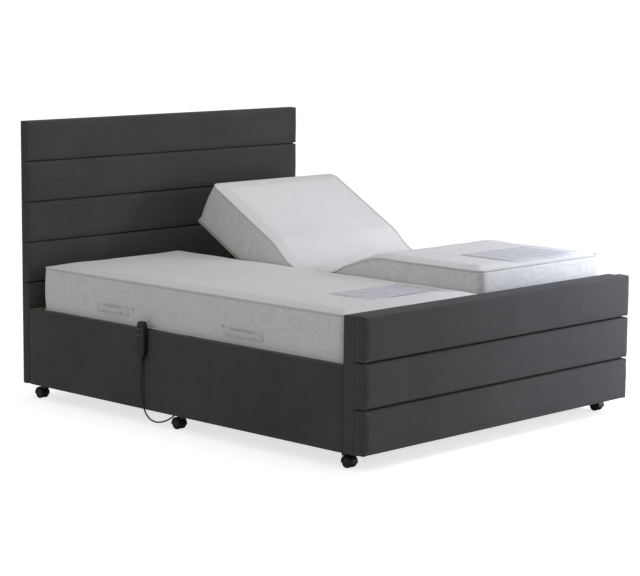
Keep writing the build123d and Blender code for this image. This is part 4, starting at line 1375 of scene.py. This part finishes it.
def finishFor(name):
    if name.endswith(("_board", "_deck")):
        return finishes["deck_board"]
    if name.endswith("_box_frame"):
        return finishes["timber"]
    if name.endswith("_rod"):
        return finishes["bright_steel"]
    if name == "control_box" or name.endswith("_drive"):
        return finishes["drive_plastic"]
    return finishes["painted_steel"]


def dressFrame():
    for name, node in frame["nodes"].items():
        material, width = finishFor(name)
        if not node.material_slots:
            node.data.materials.append(material)
        for slot in node.material_slots:
            slot.material = material
        if node.hide_render:
            continue
        soften(node, width, 2, 40)


dressFrame()


# floor, backdrop and light
def makeStage():
    material, tree, shader = newMaterial("studioFloor", 0.9)
    patches = useGroup(tree, mottle, {"Vector": objectCoords(tree), "Size": 1.5, "Fine": 6.0})["Value"]
    feed(tree, shader["Base Color"], colored(tree, patches, (0.80, 0.80, 0.80, 1), (0.84, 0.84, 0.84, 1)))
    shader["Emission Color"].default_value = (1, 1, 1, 1)
    seen = add(tree, "LightPath").outputs["Is Camera Ray"]
    feed(tree, shader["Emission Strength"], stretch(tree, seen, 0.0, 1.0, 0.05, 0.70))
    mesh = bpy.data.meshes.new("studioFloor")
    reach = 40
    corners = [(-reach, -reach, 0), (reach, -reach, 0), (reach, reach, 0), (-reach, reach, 0)]
    mesh.from_pydata(corners, [], [(0, 1, 2, 3)])
    mesh.materials.append(material)
    floor = bpy.data.objects.new("studioFloor", mesh)
    bpy.context.collection.objects.link(floor)


def makeLight(name, spec):
    data = bpy.data.lights.new(name, "AREA")
    data.shape = "RECTANGLE"
    data.size, data.size_y = spec["size"]
    data.energy = spec["power"]
    data.color = spec["color"]
    light = bpy.data.objects.new(name, data)
    bpy.context.collection.objects.link(light)
    light.location = spec["place"]
    heading = Vector(spec["target"]) - Vector(spec["place"])
    light.rotation_euler = heading.to_track_quat("-Z", "Y").to_euler()


def makeWorld(strength):
    world = bpy.data.worlds.new("studio")
    world.use_nodes = True
    tree = world.node_tree
    ground = tree.nodes["Background"]
    ground.inputs["Color"].default_value = (1, 1, 1, 1)
    seen = add(tree, "LightPath").outputs["Is Camera Ray"]
    feed(tree, ground.inputs["Strength"], stretch(tree, seen, 0.0, 1.0, strength, 1.0))
    bpy.context.scene.world = world


lightSet = {
    "frontRight": {"place": (2.2, -2.4, 0.8), "target": (0.75, -1.1, 0.35), "size": (1.2, 1.0),
                   "power": 19, "color": (1, 1, 1)},
    "window": {"place": (1.5, -1.75, 1.35), "target": (0.60, -0.75, 0.72), "size": (0.4, 0.4),
               "power": 17, "color": (0.78, 0.84, 1.0)},
    "above": {"place": (0.3, 0.2, 3.6), "target": (0.3, 0.2, 0.5), "size": (2.5, 2.5),
              "power": 14, "color": (1, 1, 1)},
    "worldStrength": 0.45,
}

makeStage()
makeWorld(lightSet["worldStrength"])
for lightName in ("frontRight", "window", "above"):
    makeLight(lightName, lightSet[lightName])
bpy.context.scene.view_settings.view_transform = "Standard"
print("stage and lights made")


bpy.context.view_layer.update()
